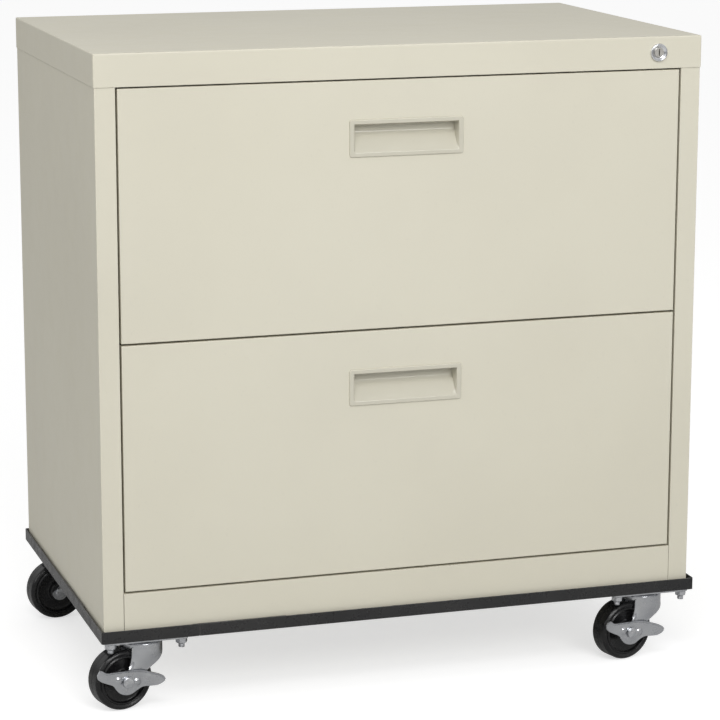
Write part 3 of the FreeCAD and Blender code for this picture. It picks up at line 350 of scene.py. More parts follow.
def makePlated(name, look):
    # bare or plated metal, with drawing lines along the sheet
    made, shader, coords = startMaterial(name, {"Metallic": look["metal"]})
    plate = placeGroup(made, plating, coords, {"Cloud Scale": look["cloud"],
                                               "Crystal Scale": look["crystal"],
                                               "Line Stretch": look["stretch"]})
    dirt = placeGroup(made, handling, coords, {"Film Scale": 35.0, "Smear Scale": 130.0})
    colour = addMix(made, plate.outputs["Cloud"], look["base"], look["shade"])
    colour = addMix(made, plate.outputs["Line"], colour, look["shade"], look["lines"])
    colour = addMix(made, dirt.outputs["Film"], colour, look["dull"], look["dullShare"])
    made.node_tree.links.new(colour, shader.inputs["Base Color"])
    smeared = addMath(made.node_tree, "MULTIPLY", dirt.outputs["Smear"], look["smear"])
    addGloss(made, shader, plate.outputs["Cloud"], look["rough"], smeared)
    under = addBump(made, shader, plate.outputs["Crystal"], look["relief"], look["reliefShare"])
    addBump(made, shader, dirt.outputs["Scratch"], look["scratch"], look["scratchShare"], under)
    return made


zincLook = {"base": (0.56, 0.57, 0.59, 1), "shade": (0.49, 0.50, 0.52, 1), "dull": (0.42, 0.43, 0.45, 1),
            "cloud": 40.0, "crystal": 500.0, "stretch": (30.0, 30.0, 500.0), "lines": 0.20,
            "rough": (0.15, 0.21), "smear": 0.12, "dullShare": 0.35, "relief": 0.000004,
            "reliefShare": 0.25, "scratch": -0.00001, "scratchShare": 0.08, "metal": 0.95}
boltLook = dict(zincLook, base=(0.66, 0.67, 0.69, 1), rough=(0.18, 0.30), cloud=180.0)
slideLook = dict(zincLook, base=(0.64, 0.65, 0.67, 1), stretch=(900.0, 12.0, 900.0), lines=0.6,
                 rough=(0.26, 0.38))
chromeLook = dict(zincLook, base=(0.80, 0.81, 0.83, 1), shade=(0.70, 0.71, 0.73, 1),
                  dull=(0.60, 0.60, 0.62, 1), rough=(0.06, 0.12), lines=0.15, relief=0.000008)
brassLook = dict(zincLook, base=(0.62, 0.61, 0.57, 1), shade=(0.52, 0.50, 0.46, 1),
                 dull=(0.40, 0.38, 0.33, 1), rough=(0.24, 0.34), metal=0.6)
wheelLook = {"base": (0.006, 0.006, 0.0065, 1), "drift": (0.010, 0.010, 0.0105, 1),
             "dust": (0.040, 0.039, 0.037, 1), "dustShare": 0.20, "rough": (0.20, 0.32), "gloss": 0.40,
             "pebble": 0.00004, "scratch": -0.00006, "scratchShare": 0.6}


def makeWheelRubber(look):
    made, shader, coords = startMaterial("wheelRubber", {"IOR": 1.5, "Specular IOR Level": look["gloss"]})
    powder = placeGroup(made, powderCoat, coords, {"Pebble Scale": 900.0, "Drift Scale": 40.0})
    dirt = placeGroup(made, handling, coords, {"Film Scale": 55.0, "Smear Scale": 160.0})
    colour = addMix(made, powder.outputs["Drift"], look["base"], look["drift"])
    colour = addMix(made, dirt.outputs["Film"], colour, look["dust"], look["dustShare"])
    made.node_tree.links.new(colour, shader.inputs["Base Color"])
    addGloss(made, shader, dirt.outputs["Smear"], look["rough"])
    under = addBump(made, shader, powder.outputs["Pebble"], look["pebble"])
    addBump(made, shader, dirt.outputs["Scratch"], look["scratch"], look["scratchShare"], under)
    return made


finishes = {
    "putty_enamel": makePutty("puttyEnamel", puttyLook),
    "pull_plastic": makePullPlastic(pullLook),
    "black_paint": makeBlackPaint("blackRailPaint", blackLook),
    "black_bolt": makeBlackPaint("blackBoltFinish", dict(blackLook, rough=(0.24, 0.36))),
    "zinc_plate": makePlated("zincPlate", zincLook),
    "zinc_bolt": makePlated("zincBolt", boltLook),
    "bright_steel": makePlated("slideSteel", slideLook),
    "lock_chrome": makePlated("lockChrome", chromeLook),
    "lock_brass": makePlated("lockBrass", brassLook),
    "black_wheel": makeWheelRubber(wheelLook),
}
print("finishes made:", len(finishes))


# Mesh helpers

def toPlain(piece):
    # apply the live modifiers, leaving an ordinary mesh
    graph = bpy.context.evaluated_depsgraph_get()
    graph.update()
    mesh = bpy.data.meshes.new_from_object(piece.evaluated_get(graph))
    piece.modifiers.clear()
    piece.data = mesh
    return piece


def newObject(name, bm):
    mesh = bpy.data.meshes.new(name)
    bm.to_mesh(mesh)
    bm.free()
    made = bpy.data.objects.new(name, mesh)
    bpy.context.scene.collection.objects.link(made)
    return made


def smoothBelow(mesh, degrees):
    # smooth faces, with a hard edge wherever they turn more than this
    for face in mesh.polygons:
        face.use_smooth = True
    mesh.set_sharp_from_angle(angle=math.radians(degrees))


def thickened(piece, thickness, offset):
    # give a bare surface a wall
    shell = piece.modifiers.new("wall", "SOLIDIFY")
    shell.thickness = thickness
    shell.offset = offset
    return toPlain(piece)


def walled(bm, thickness, offset):
    # the same for a mesh that is still being built
    sheet = thickened(newObject("sheet", bm), thickness, offset)
    closed = bmesh.new()
    closed.from_mesh(sheet.data)
    bpy.data.objects.remove(sheet)
    return closed


finishing = {"hardAbove": 38, "bevelAbove": 40, "bevelSegments": 2}


def newPiece(name, bm, node, rounding=0.0, outward=True):
    # a finished piece that rides with a CAD node's body and takes its slot
    if outward:
        bmesh.ops.recalc_face_normals(bm, faces=bm.faces)
    piece = newObject(name, bm)
    smoothBelow(piece.data, finishing["hardAbove"])
    if rounding:
        bevel = piece.modifiers.new("softEdges", "BEVEL")
        bevel.width = rounding
        bevel.segments = finishing["bevelSegments"]
        bevel.limit_method = "ANGLE"
        bevel.angle_limit = math.radians(finishing["bevelAbove"])
        bevel.use_clamp_overlap = True
    weighted = piece.modifiers.new("flatNormals", "WEIGHTED_NORMAL")
    weighted.keep_sharp = True
    return settle(toPlain(piece), node, [node])


def settle(piece, node, instead):
    # its finish, its body and the CAD nodes that it stands for
    piece.data.materials.clear()
    piece.data.materials.append(finishes[slotOf[node]])
    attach(piece, bodyOf[node])
    if instead:
        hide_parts(*instead)
    return piece


mergeWithin = 1e-6       # CAD corners closer than this, in metres, become one
flatWithin = 0.8         # faces that turn less than this, in degrees, become one


def refined(node, rounding):
    # the CAD sheet with its seams merged and its raw edges broken
    bm = bmesh.new()
    bm.from_mesh(frame["nodes"][node].data)
    bmesh.ops.remove_doubles(bm, verts=bm.verts, dist=mergeWithin)
    bmesh.ops.dissolve_limit(bm, angle_limit=math.radians(flatWithin), verts=bm.verts, edges=bm.edges)
    return newPiece(node + "_sheet", bm, node, rounding, outward=False)


def lathe(bm, profile, steps, place, closed=True):
    # turn (radius, along) points about local Y; ends on the axis become poles
    rings = []
    for radius, along in profile:
        if radius < 1e-7:
            rings.append([bm.verts.new(place @ Vector((0, along, 0)))] * steps)
            continue
        ring = []
        for step in range(steps):
            angle = 2 * math.pi * step / steps
            spot = Vector((radius * math.cos(angle), along, radius * math.sin(angle)))
            ring.append(bm.verts.new(place @ spot))
        rings.append(ring)
    pairs = list(zip(rings, rings[1:]))
    if closed:
        pairs.append((rings[-1], rings[0]))
    for ring, after in pairs:
        for step in range(steps):
            other = (step + 1) % steps
            corner = [ring[step], ring[other], after[other], after[step]]
            kept = list(dict.fromkeys(corner))
            if len(kept) > 2:
                bm.faces.new(kept)


def skin(bm, rows):
    # quads between rows of points
    made = [[bm.verts.new(point) for point in row] for row in rows]
    for row, after in zip(made, made[1:]):
        for a, b, c, d in zip(row, row[1:], after[1:], after):
            bm.faces.new((a, b, c, d))


# Case, drawers and dolly sheets

sheetEdges = {"top_cap": 0.0007, "left_side_panel": 0.0002, "right_side_panel": 0.0002,
              "back_panel": 0.0002, "bottom_pan": 0.0002, "kick_rail": 0.00025,
              "left_rear_post": 0.0003, "right_rear_post": 0.0003, "leveling_glides": 0.0006,
              "lock_cam": 0.0003, "lock_bar": 0.0003, "lock_bar_guide": 0.0003,
              "lock_plug": 0.00015}
drawerEdges = {"front": 0.0009, "liner": 0.0002, "bottom": 0.0002, "left_side": 0.0003,
               "right_side": 0.0003, "back": 0.0003, "hanger_bars": 0.0006}
slideEdges, railEdges, plateEdges = 0.0003, 0.00035, 0.0004

for node, rounding in sheetEdges.items():
    refined(node, rounding)
for drawer in ("upper", "lower"):
    for part, rounding in drawerEdges.items():
        refined(f"{drawer}_drawer_{part}", rounding)
    for member in ("cabinet", "middle", "drawer"):
        refined(f"{drawer}_slide_{member}_members", slideEdges)
for corner in corners:
    refined(corner + "_rail", railEdges)
    refined(corner + "_caster_plate", plateEdges)
print("sheets refined")


# Drawer pulls: a raised frame round a finger pocket

pullShape = {"border": 0.0058, "corner": 0.0030, "innerCorner": 0.0022, "proud": 0.0018,
             "pocket": 0.0170, "flat": 0.0110, "sill": 0.0006, "step": 0.0011, "lip": 0.0009,
             "wall": 0.0012, "wallStart": 0.3, "crease": 0.0030, "tuck": 0.0006, "thick": 0.0010,
             "fine": 0.0003, "coarse": 0.0040, "fineReach": 1.1, "hardAbove": 55}


def roundedBox(x, z, halfX, halfZ, radius):
    # signed distance to a rounded rectangle, negative inside
    qx, qz = abs(x) - halfX + radius, abs(z) - halfZ + radius
    outside = math.hypot(max(qx, 0.0), max(qz, 0.0))
    return outside + min(max(qx, qz), 0.0) - radius


def gridLines(half, marks, shape):
    # lines close together beside each mark and wide apart elsewhere
    lines, place = [-half], -half
    while place < half:
        nearest = min(abs(abs(place) - mark) for mark in marks)
        place += shape["fine"] if nearest < shape["corner"] * shape["fineReach"] else shape["coarse"]
        lines.append(min(place, half))
    return lines


def pullFace(x, z, halfX, halfZ, face, shape):
    # how far back the moulding's front surface lies at a place
    outer = -roundedBox(x, z, halfX, halfZ, shape["corner"])
    if outer < -1e-6:
        return face + shape["proud"] + shape["tuck"]
    surface = face + shape["proud"] * (1 - math.sin(min(outer / shape["step"], 1.0) * math.pi / 2))
    inner = -roundedBox(x, z, halfX - shape["border"], halfZ - shape["border"], shape["innerCorner"])
    if inner <= -shape["lip"]:
        return surface
    bend = halfZ - shape["border"] - shape["flat"]
    foot = -halfZ + shape["border"]
    slope = blendBetween(shape["sill"], shape["pocket"], (z - foot) / (bend - foot))
    gap = slope - shape["pocket"]
    # the slope runs into the flat back through a soft crease
    floor = shape["pocket"] + 0.5 * (gap - math.sqrt(gap * gap + shape["crease"] ** 2 / 12))
    floor = max(floor, shape["sill"])
    lip = eased((inner + shape["lip"]) / (2 * shape["lip"])) * min(shape["lip"], floor)
    sinking = eased((inner - shape["wallStart"] * shape["lip"]) / shape["wall"])
    wall = sinking * max(floor - shape["lip"], 0.0)
    return surface + lip + wall


def makePull(node, shape):
    low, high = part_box(node)
    middle, half = (low + high) / 2, (high - low) / 2
    edgeX, edgeZ = (half.x, half.x - shape["border"]), (half.z, half.z - shape["border"])
    across = gridLines(half.x, edgeX, shape)
    upward = gridLines(half.z, edgeZ + (half.z - shape["border"] - shape["flat"],), shape)
    rows = []
    for z in upward:
        row = []
        for x in across:
            y = pullFace(x, z, half.x, half.z, low.y, shape)
            row.append(Vector((middle.x + x, y, middle.z + z)))
        rows.append(row)
    bm = bmesh.new()
    skin(bm, rows)
    piece = newObject(node + "_moulding", bm)
    smoothBelow(piece.data, shape["hardAbove"])
    return settle(thickened(piece, shape["thick"], -1), node, [node])


for drawer in ("upper", "lower"):
    makePull(drawer + "_drawer_pull", pullShape)
print("pulls moulded")


# Lock: a turned bezel with a rolled lip

bezelShape = {"lip": 0.0014, "dish": 0.0017, "floor": 0.0066, "bore": 0.0061, "barrel": 0.86,
              "edges": 0.0001, "steps": 96}


def makeBezel(shape):
    low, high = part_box("lock_housing")
    middle = (low + high) / 2
    outer = (high.x - low.x) / 2
    barrel = outer * shape["barrel"]
    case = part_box("top_cap")[0].y
    lip = shape["lip"]
    profile = [(shape["bore"], low.y + shape["dish"]), (shape["floor"], low.y + shape["dish"])]
    profile += arc(outer - lip, low.y + lip, lip, 205, 360, 14)
    profile += [(outer, case), (barrel, case), (barrel, high.y), (shape["bore"], high.y)]
    bm = bmesh.new()
    lathe(bm, profile, shape["steps"], Matrix.Translation((middle.x, 0, middle.z)))
    newPiece("lock_bezel", bm, "lock_housing", shape["edges"])


makeBezel(bezelShape)
print("lock turned")


# Casters

def casterPlace(corner):
    # the swivel's own frame: origin on the floor, +X leading, +Y the wheel's far side
    swivel = joints[corner + "_caster_swivel_turn"]
    spin = joints[corner + "_caster_wheel_spin"]
    x, y, _ = swivel["pos_m"]
    turn = math.atan2(spin["axis"][0], -spin["axis"][1])
    place = Matrix.Translation((x, y, 0)) @ Matrix.Rotation(turn, 4, "Z")
    hub = place.inverted() @ Vector(spin["pos_m"])
    return place, hub


forkShape = {"crown": 0.0255, "outside": 0.0191, "wall": 0.0023, "eye": 0.0108, "skirt": 0.0775,
             "top": 0.0850, "brim": 0.0040, "leading": 0.0243, "trailing": 0.0215, "slim": 0.0168,
             "bore": 0.0052, "lap": 0.001, "rollFrom": 0.30, "rollOver": 0.55, "slimBefore": 0.010,
             "dish": 0.0008, "dishInner": 0.0115, "dishOuter": 0.0130, "hollow": 0.002,
             "edges": 0.0005, "rows": 34, "columns": 20, "steps": 72}


def forkEdges(z, hub, shape):
    # trailing and leading edges of a leg at a height
    if z < hub.z:
        half = math.sqrt(max(shape["eye"] ** 2 - (hub.z - z) ** 2, 1e-8))
        return hub.x - half, hub.x + half
    rise = (z - hub.z) / (shape["skirt"] + shape["lap"] - hub.z)
    back = blendBetween(-shape["trailing"], hub.x - shape["eye"], (1 - rise) ** 3)
    fore = blendBetween(hub.x + shape["eye"], shape["leading"], math.sin(rise * math.pi / 2))
    return back, fore


def forkSide(x, z, hub, shape):
    # half width of the yoke: flat at the eye, rolled round the crown above
    rise = (z - hub.z) / (shape["skirt"] + shape["lap"] - hub.z)
    rolled = math.sqrt(max(shape["crown"] ** 2 - x * x, 1e-6))
    rolling = eased((rise - shape["rollFrom"]) / shape["rollOver"])
    side = blendBetween(shape["outside"], rolled, rolling)
    return max(side, shape["slim"]) if x < shape["slimBefore"] else side


def makeFork(corner, shape):
    place, hub = casterPlace(corner)
    bm = bmesh.new()
    for side in (-1, 1):
        rows = []
        for step in range(shape["rows"] + 1):
            z = blendBetween(hub.z - shape["eye"] * 0.999, shape["skirt"] + shape["lap"],
                             crowded(step / shape["rows"]))
            back, fore = forkEdges(z, hub, shape)
            row = []
            for column in range(shape["columns"] + 1):
                x = blendBetween(back, fore, crowded(column / shape["columns"]))
                row.append(place @ Vector((x, side * forkSide(x, z, hub, shape), z)))
            rows.append(row if side < 0 else row[::-1])
        skin(bm, rows)
    wall, top, bore, crown = shape["wall"], shape["top"], shape["bore"], shape["crown"]
    bm = walled(bm, wall, -1)
    dish, brim = shape["dish"], shape["brim"]
    profile = [(bore, top - dish), (shape["dishInner"], top - dish), (shape["dishOuter"], top)]
    profile += arc(crown - brim, top - brim, brim, 90, 0, 8)
    profile += [(crown, shape["skirt"]), (crown - wall, shape["skirt"]), (crown - wall, top - brim),
                (crown - wall - shape["hollow"], top - wall), (bore, top - wall - dish)]
    lathe(bm, profile, shape["steps"], place @ Matrix.Rotation(math.pi / 2, 4, "X"))
    node = corner + "_caster_fork"
    newPiece(node + "_yoke", bm, node, shape["edges"])


wheelShape = {"radius": 0.038, "half": 0.014, "shoulder": 0.0055, "bead": 0.0008, "rim": 0.0285,
              "web": 0.0085, "hub": 0.0118, "hubHalf": 0.0160, "bore": 0.0041,
              "hubBreak": (0.002, 0.0015), "fillet": 0.0012, "run": 0.0035,
              "groove": (3.2, 1.6), "parting": 0.0003, "flatHalf": 0.0007,
              "crowning": 0.0001, "steps": 96}


def makeWheel(corner, shape):
    place, hub = casterPlace(corner)
    radius, half, shoulder = shape["radius"], shape["half"], shape["shoulder"]
    rim, bead, web, hubRadius = shape["rim"], shape["bead"], shape["web"], shape["hub"]
    hubHalf, fillet, run = shape["hubHalf"], shape["fillet"], shape["run"]
    inward, down = shape["hubBreak"]
    side = [(shape["bore"], hubHalf), (hubRadius - inward, hubHalf), (hubRadius, hubHalf - down),
            (hubRadius + fillet, web + fillet), (hubRadius + run, web), (rim - run, web),
            (rim - fillet, web + fillet), (rim, half - 2 * bead)]
    side += arc(rim + bead, half - bead, bead, 170, 40, 6)
    out, back = shape["groove"]
    side += [(rim + out * bead, half - back * bead)]
    side += arc(radius - shoulder, half - shoulder, shoulder, 78, 8, 10)
    side += [(radius - shape["crowning"], half - shoulder - run), (radius, shape["flatHalf"]),
             (radius - shape["parting"], 0.0)]
    profile = side + [(r, -along) for r, along in side[-2::-1]]
    bm = bmesh.new()
    lathe(bm, profile, shape["steps"], place @ Matrix.Translation(hub))
    node = corner + "_caster_wheel"
    newPiece(node + "_tread", bm, node)


axleShape = {"head": 0.0070, "shank": 0.0040, "dome": 0.0010, "thick": 0.0036, "nut": 0.0066,
             "nutBreak": 0.0006, "end": 0.0016, "headFace": 0.72, "headRim": 0.92, "rimDrop": 0.35,
             "tip": 0.8, "nutFoot": 0.93, "nutTop": 0.9, "edges": 0.0002, "steps": 48}


def makeAxle(corner, shape):
    place, hub = casterPlace(corner)
    node = corner + "_caster_axle"
    spots = [place.inverted() @ vertex.co - hub for vertex in frame["nodes"][node].data.vertices]
    near, far = min(spot.y for spot in spots), max(spot.y for spot in spots)
    head, shank, thick, end = shape["head"], shape["shank"], shape["thick"], shape["end"]
    at = place @ Matrix.Translation(hub)
    bm = bmesh.new()
    dome = shape["dome"]
    profile = [(0, near), (head * shape["headFace"], near),
               (head * shape["headRim"], near + shape["rimDrop"] * dome), (head, near + dome),
               (head, near + thick), (shank, near + thick), (shank, far - end),
               (shank * shape["tip"], far), (0, far)]
    lathe(bm, profile, shape["steps"], at, closed=False)
    nut = shape["nut"] / math.cos(math.pi / 6)      # from the flats to the corners
    rear = far - thick
    profile = [(shank, rear), (nut * shape["nutFoot"], rear), (nut, rear + shape["nutBreak"]),
               (nut, far - end - shape["nutBreak"]), (nut * shape["nutTop"], far - end),
               (shank, far - end)]
    lathe(bm, profile, 6, at)
    newPiece(node + "_bolt", bm, node, shape["edges"])


leverShape = {"tilt": math.radians(12), "near": -0.0197, "thick": 0.0019, "flare": 0.0046,
              "flareCurve": 1.4, "flat": 0.015, "rim": 0.0014, "rimDepth": 0.0022,
              "dimple": 0.0020, "dimpleSpread": 0.0036, "dimpleX": 0.0125, "dimpleZ": 0.0010,
              "edges": 0.0003, "columns": 96, "rows": 26, "rowCurve": 1.4,
              "top": [(-0.0450, 0.0095), (-0.0435, 0.0128), (-0.0410, 0.0138), (-0.0330, 0.0108),
                      (-0.0220, 0.0118), (0.0000, 0.0150), (0.0180, 0.0160), (0.0300, 0.0148),
                      (0.0400, 0.0132), (0.0460, 0.0110), (0.0485, 0.0080)],
              "foot": [(-0.0450, 0.0075), (-0.0435, 0.0035), (-0.0390, 0.0000), (-0.0280, -0.0032),
                       (-0.0190, -0.0058), (-0.0130, -0.0112), (-0.0065, -0.0150),
                       (0.0010, -0.0160), (0.0085, -0.0140), (0.0150, -0.0088),
                       (0.0220, -0.0042), (0.0310, -0.0028), (0.0400, -0.0010),
                       (0.0460, 0.0025), (0.0485, 0.0060)]}


def leverSide(x, z, top, shape):
    # how far the stamped strip stands off, with its flare, rolled rim and dimples
    reach = max(abs(x) - shape["flat"], 0.0) / (shape["top"][-1][0] - shape["flat"])
    out = shape["flare"] * min(reach, 1.0) ** shape["flareCurve"]
    out += shape["rim"] * eased((z - top + shape["rimDepth"]) / shape["rimDepth"])
    for side in (-1, 1):
        away = math.hypot(x - side * shape["dimpleX"], z - shape["dimpleZ"]) / shape["dimpleSpread"]
        out += shape["dimple"] * math.exp(-away ** 4)
    return shape["near"] - out


def makeLever(corner, shape):
    place, hub = casterPlace(corner)
    node = corner + "_caster_brake_lever"
    at = place @ Matrix.Translation(hub) @ Matrix.Rotation(shape["tilt"], 4, "Y")
    rows = []
    for row in range(shape["rows"] + 1):
        points = []
        for column in range(shape["columns"] + 1):
            x = blendBetween(shape["top"][0][0], shape["top"][-1][0], column / shape["columns"])
            top, foot = through(shape["top"], x), through(shape["foot"], x)
            z = blendBetween(foot, top, 1 - (1 - row / shape["rows"]) ** shape["rowCurve"])
            points.append(at @ Vector((x, leverSide(x, z, top, shape), z)))
        rows.append(points)
    bm = bmesh.new()
    skin(bm, rows)
    newPiece(node + "_stamping", walled(bm, shape["thick"], 1), node, shape["edges"])


for corner in corners:
    makeFork(corner, forkShape)
    makeWheel(corner, wheelShape)
    makeAxle(corner, axleShape)
    if corner.startswith("front"):
        makeLever(corner, leverShape)
print("casters made")


# Bolts and slide balls, placed by Geometry Nodes

def newTree(name, inputs):
    tree = bpy.data.node_groups.new(name, "GeometryNodeTree")
    tree.interface.new_socket(name="Geometry", in_out="INPUT", socket_type="NodeSocketGeometry")
    for label, kind, value in inputs:
        socket = tree.interface.new_socket(name=label, in_out="INPUT", socket_type=kind)
        if value is not None:
            socket.default_value = value
    tree.interface.new_socket(name="Geometry", in_out="OUTPUT", socket_type="NodeSocketGeometry")
    return tree, tree.nodes.new("NodeGroupInput"), tree.nodes.new("NodeGroupOutput")


def setIn(tree, node, label, value):
    if isinstance(value, bpy.types.NodeSocket):
        tree.links.new(value, node.inputs[label])
    else:
        node.inputs[label].default_value = value


def coneAt(tree, sides, low, high, depth, lift):
    # a cone or prism standing on a height
    cone = tree.nodes.new("GeometryNodeMeshCone")
    for label, value in (("Vertices", sides), ("Radius Bottom", low), ("Radius Top", high),
                         ("Depth", depth)):
        setIn(tree, cone, label, value)
    moved = tree.nodes.new("GeometryNodeTransform")
    tree.links.new(cone.outputs["Mesh"], moved.inputs["Geometry"])
    upward = tree.nodes.new("ShaderNodeCombineXYZ")
    setIn(tree, upward, "Z", lift)
    tree.links.new(upward.outputs[0], moved.inputs["Translation"])
    return moved.outputs["Geometry"]


def finishTree(tree, given, result, shape):
    # one shape on every point, made real and given its finish
    points = tree.nodes.new("GeometryNodeMeshToPoints")
    tree.links.new(given.outputs["Geometry"], points.inputs["Mesh"])
    copies = tree.nodes.new("GeometryNodeInstanceOnPoints")
    tree.links.new(points.outputs["Points"], copies.inputs["Points"])
    tree.links.new(shape, copies.inputs["Instance"])
    real = tree.nodes.new("GeometryNodeRealizeInstances")
    tree.links.new(copies.outputs["Instances"], real.inputs["Geometry"])
    painted = tree.nodes.new("GeometryNodeSetMaterial")
    tree.links.new(real.outputs["Geometry"], painted.inputs["Geometry"])
    tree.links.new(given.outputs["Finish"], painted.inputs["Material"])
    tree.links.new(painted.outputs["Geometry"], result.inputs["Geometry"])


boltShare = {"slim": 0.90, "washer": 0.86, "washerHeight": 0.5, "core": 0.88, "tip": 0.7,
             "ridge": 0.11, "waist": 0.45, "rest": 0.55, "shoulder": 0.92, "crown": 0.45}
boltTip, threadLap = 0.0006, 0.001


def makeBoltTree(share):
    # nut with broken corners, a threaded end below it and a low head above
    inputs = [("Nut Radius", "NodeSocketFloat", 0.0073), ("Nut Height", "NodeSocketFloat", 0.0065),
              ("Chamfer", "NodeSocketFloat", 0.0009), ("Shank Radius", "NodeSocketFloat", 0.004),
              ("End Length", "NodeSocketFloat", 0.0056), ("Pitch Turns", "NodeSocketFloat", 5.0),
              ("Grip", "NodeSocketFloat", 0.004), ("Head Radius", "NodeSocketFloat", 0.007),
              ("Head Height", "NodeSocketFloat", 0.0012), ("Finish", "NodeSocketMaterial", None)]
    tree, given, result = newTree("boltWithNut", inputs)
    read = given.outputs
    slim = addMath(tree, "MULTIPLY", read["Nut Radius"], share["slim"])
    drop = addMath(tree, "MULTIPLY", read["Nut Height"], -1.0)
    body = addMath(tree, "SUBTRACT", read["Nut Height"], addMath(tree, "MULTIPLY", read["Chamfer"], 2.0))
    parts = [coneAt(tree, 6, slim, read["Nut Radius"], read["Chamfer"], drop),
             coneAt(tree, 6, read["Nut Radius"], read["Nut Radius"], body,
                    addMath(tree, "ADD", drop, read["Chamfer"])),
             coneAt(tree, 6, read["Nut Radius"], slim, read["Chamfer"],
                    addMath(tree, "MULTIPLY", read["Chamfer"], -1.0))]
    washer = addMath(tree, "MULTIPLY", read["Nut Radius"], share["washer"])
    parts.append(coneAt(tree, 28, washer, washer,
                        addMath(tree, "MULTIPLY", read["Chamfer"], share["washerHeight"]), drop))
    low = addMath(tree, "SUBTRACT", drop, read["End Length"])
    core = addMath(tree, "MULTIPLY", read["Shank Radius"], share["core"])
    below = addMath(tree, "ADD", read["Nut Height"], read["End Length"])
    length = addMath(tree, "ADD", below, read["Grip"])
    parts.append(coneAt(tree, 20, core, core, length, low))
    parts.append(coneAt(tree, 20, addMath(tree, "MULTIPLY", core, share["tip"]), core, boltTip,
                        addMath(tree, "ADD", low, -boltTip / 2)))
    helix = tree.nodes.new("GeometryNodeCurveSpiral")
    helix.inputs["Resolution"].default_value = 16
    for label, value in (("Rotations", read["Pitch Turns"]), ("Start Radius", core), ("End Radius", core),
                         ("Height", addMath(tree, "ADD", read["End Length"], threadLap))):
        setIn(tree, helix, label, value)
    ridge = tree.nodes.new("GeometryNodeCurvePrimitiveCircle")
    ridge.inputs["Resolution"].default_value = 4
    setIn(tree, ridge, "Radius", addMath(tree, "MULTIPLY", read["Shank Radius"], share["ridge"]))
    thread = tree.nodes.new("GeometryNodeCurveToMesh")
    tree.links.new(helix.outputs["Curve"], thread.inputs["Curve"])
    tree.links.new(ridge.outputs["Curve"], thread.inputs["Profile Curve"])
    thread.inputs["Fill Caps"].default_value = True
    moved = tree.nodes.new("GeometryNodeTransform")
    tree.links.new(thread.outputs["Mesh"], moved.inputs["Geometry"])
    upward = tree.nodes.new("ShaderNodeCombineXYZ")
    tree.links.new(low, upward.inputs["Z"])
    tree.links.new(upward.outputs[0], moved.inputs["Translation"])
    parts.append(moved.outputs["Geometry"])
    waist = addMath(tree, "MULTIPLY", read["Head Height"], share["waist"])
    rest = addMath(tree, "MULTIPLY", read["Head Height"], share["rest"])
    shoulder = addMath(tree, "MULTIPLY", read["Head Radius"], share["shoulder"])
    crown = addMath(tree, "MULTIPLY", read["Head Radius"], share["crown"])
    parts.append(coneAt(tree, 32, read["Head Radius"], shoulder, waist, read["Grip"]))
    parts.append(coneAt(tree, 32, shoulder, crown, rest, addMath(tree, "ADD", read["Grip"], waist)))
    whole = tree.nodes.new("GeometryNodeJoinGeometry")
    for part in parts:
        tree.links.new(part, whole.inputs["Geometry"])
    finishTree(tree, given, result, whole.outputs["Geometry"])
    return tree


def makeBallTree():
    tree, given, result = newTree("slideBalls", [("Radius", "NodeSocketFloat", 0.001),
                                                 ("Finish", "NodeSocketMaterial", None)])
    ball = tree.nodes.new("GeometryNodeMeshIcoSphere")
    ball.inputs["Subdivisions"].default_value = 2
    tree.links.new(given.outputs["Radius"], ball.inputs["Radius"])
    finishTree(tree, given, result, ball.outputs["Mesh"])
    return tree


repeatsHardAbove = 32


def scatter(name, tree, points, values, node, instead):
    # run a tree on a set of points and keep the result as a plain mesh
    bm = bmesh.new()
    for point in points:
        bm.verts.new(point)
    piece = newObject(name, bm)
    modifier = piece.modifiers.new("placed", "NODES")
    modifier.node_group = tree
    sockets = {item.name: item.identifier for item in tree.interface.items_tree
               if item.in_out == "INPUT" and item.socket_type != "NodeSocketGeometry"}
    for label, value in dict(values, Finish=finishes[slotOf[node]]).items():
        modifier[sockets[label]] = value
    toPlain(piece)
    smoothBelow(piece.data, repeatsHardAbove)
    return settle(piece, node, instead)


casterBolts = {"Nut Radius": 0.00733, "Nut Height": 0.0065, "Shank Radius": 0.004, "End Length": 0.0056,
               "Pitch Turns": 5.0, "Grip": 0.0039, "Head Radius": 0.007, "Head Height": 0.0012}
railBolts = {"Nut Radius": 0.00577, "Nut Height": 0.005, "Shank Radius": 0.003, "End Length": 0.002,
             "Pitch Turns": 2.0, "Grip": 0.003, "Head Radius": 0.005, "Head Height": 0.003}


def islandMiddles(node):
    # the plan middle of each separate solid in a CAD node
    bm = bmesh.new()
    bm.from_mesh(frame["nodes"][node].data)
    bmesh.ops.remove_doubles(bm, verts=bm.verts, dist=mergeWithin)
    left, middles = set(bm.verts), []
    while left:
        found, wave = set(), [next(iter(left))]
        while wave:
            vertex = wave.pop()
            if vertex in found:
                continue
            found.add(vertex)
            wave += [edge.other_vert(vertex) for edge in vertex.link_edges]
        left -= found
        xs, ys = [v.co.x for v in found], [v.co.y for v in found]
        middles.append(((min(xs) + max(xs)) / 2, (min(ys) + max(ys)) / 2))
    bm.free()
    return sorted(middles)


boltTree = makeBoltTree(boltShare)
plateWall = 0.0024
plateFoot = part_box("front_left_caster_plate")[1].z - plateWall
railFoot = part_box("front_left_rail")[0].z
scatter("caster_bolts_threaded", boltTree, [(x, y, plateFoot) for x, y in islandMiddles("caster_bolts")],
        casterBolts, "caster_bolts", ["caster_bolts"])
scatter("rail_bolts_threaded", boltTree, [(x, y, railFoot) for x, y in islandMiddles("rail_bolts")],
        railBolts, "rail_bolts", ["rail_bolts"])

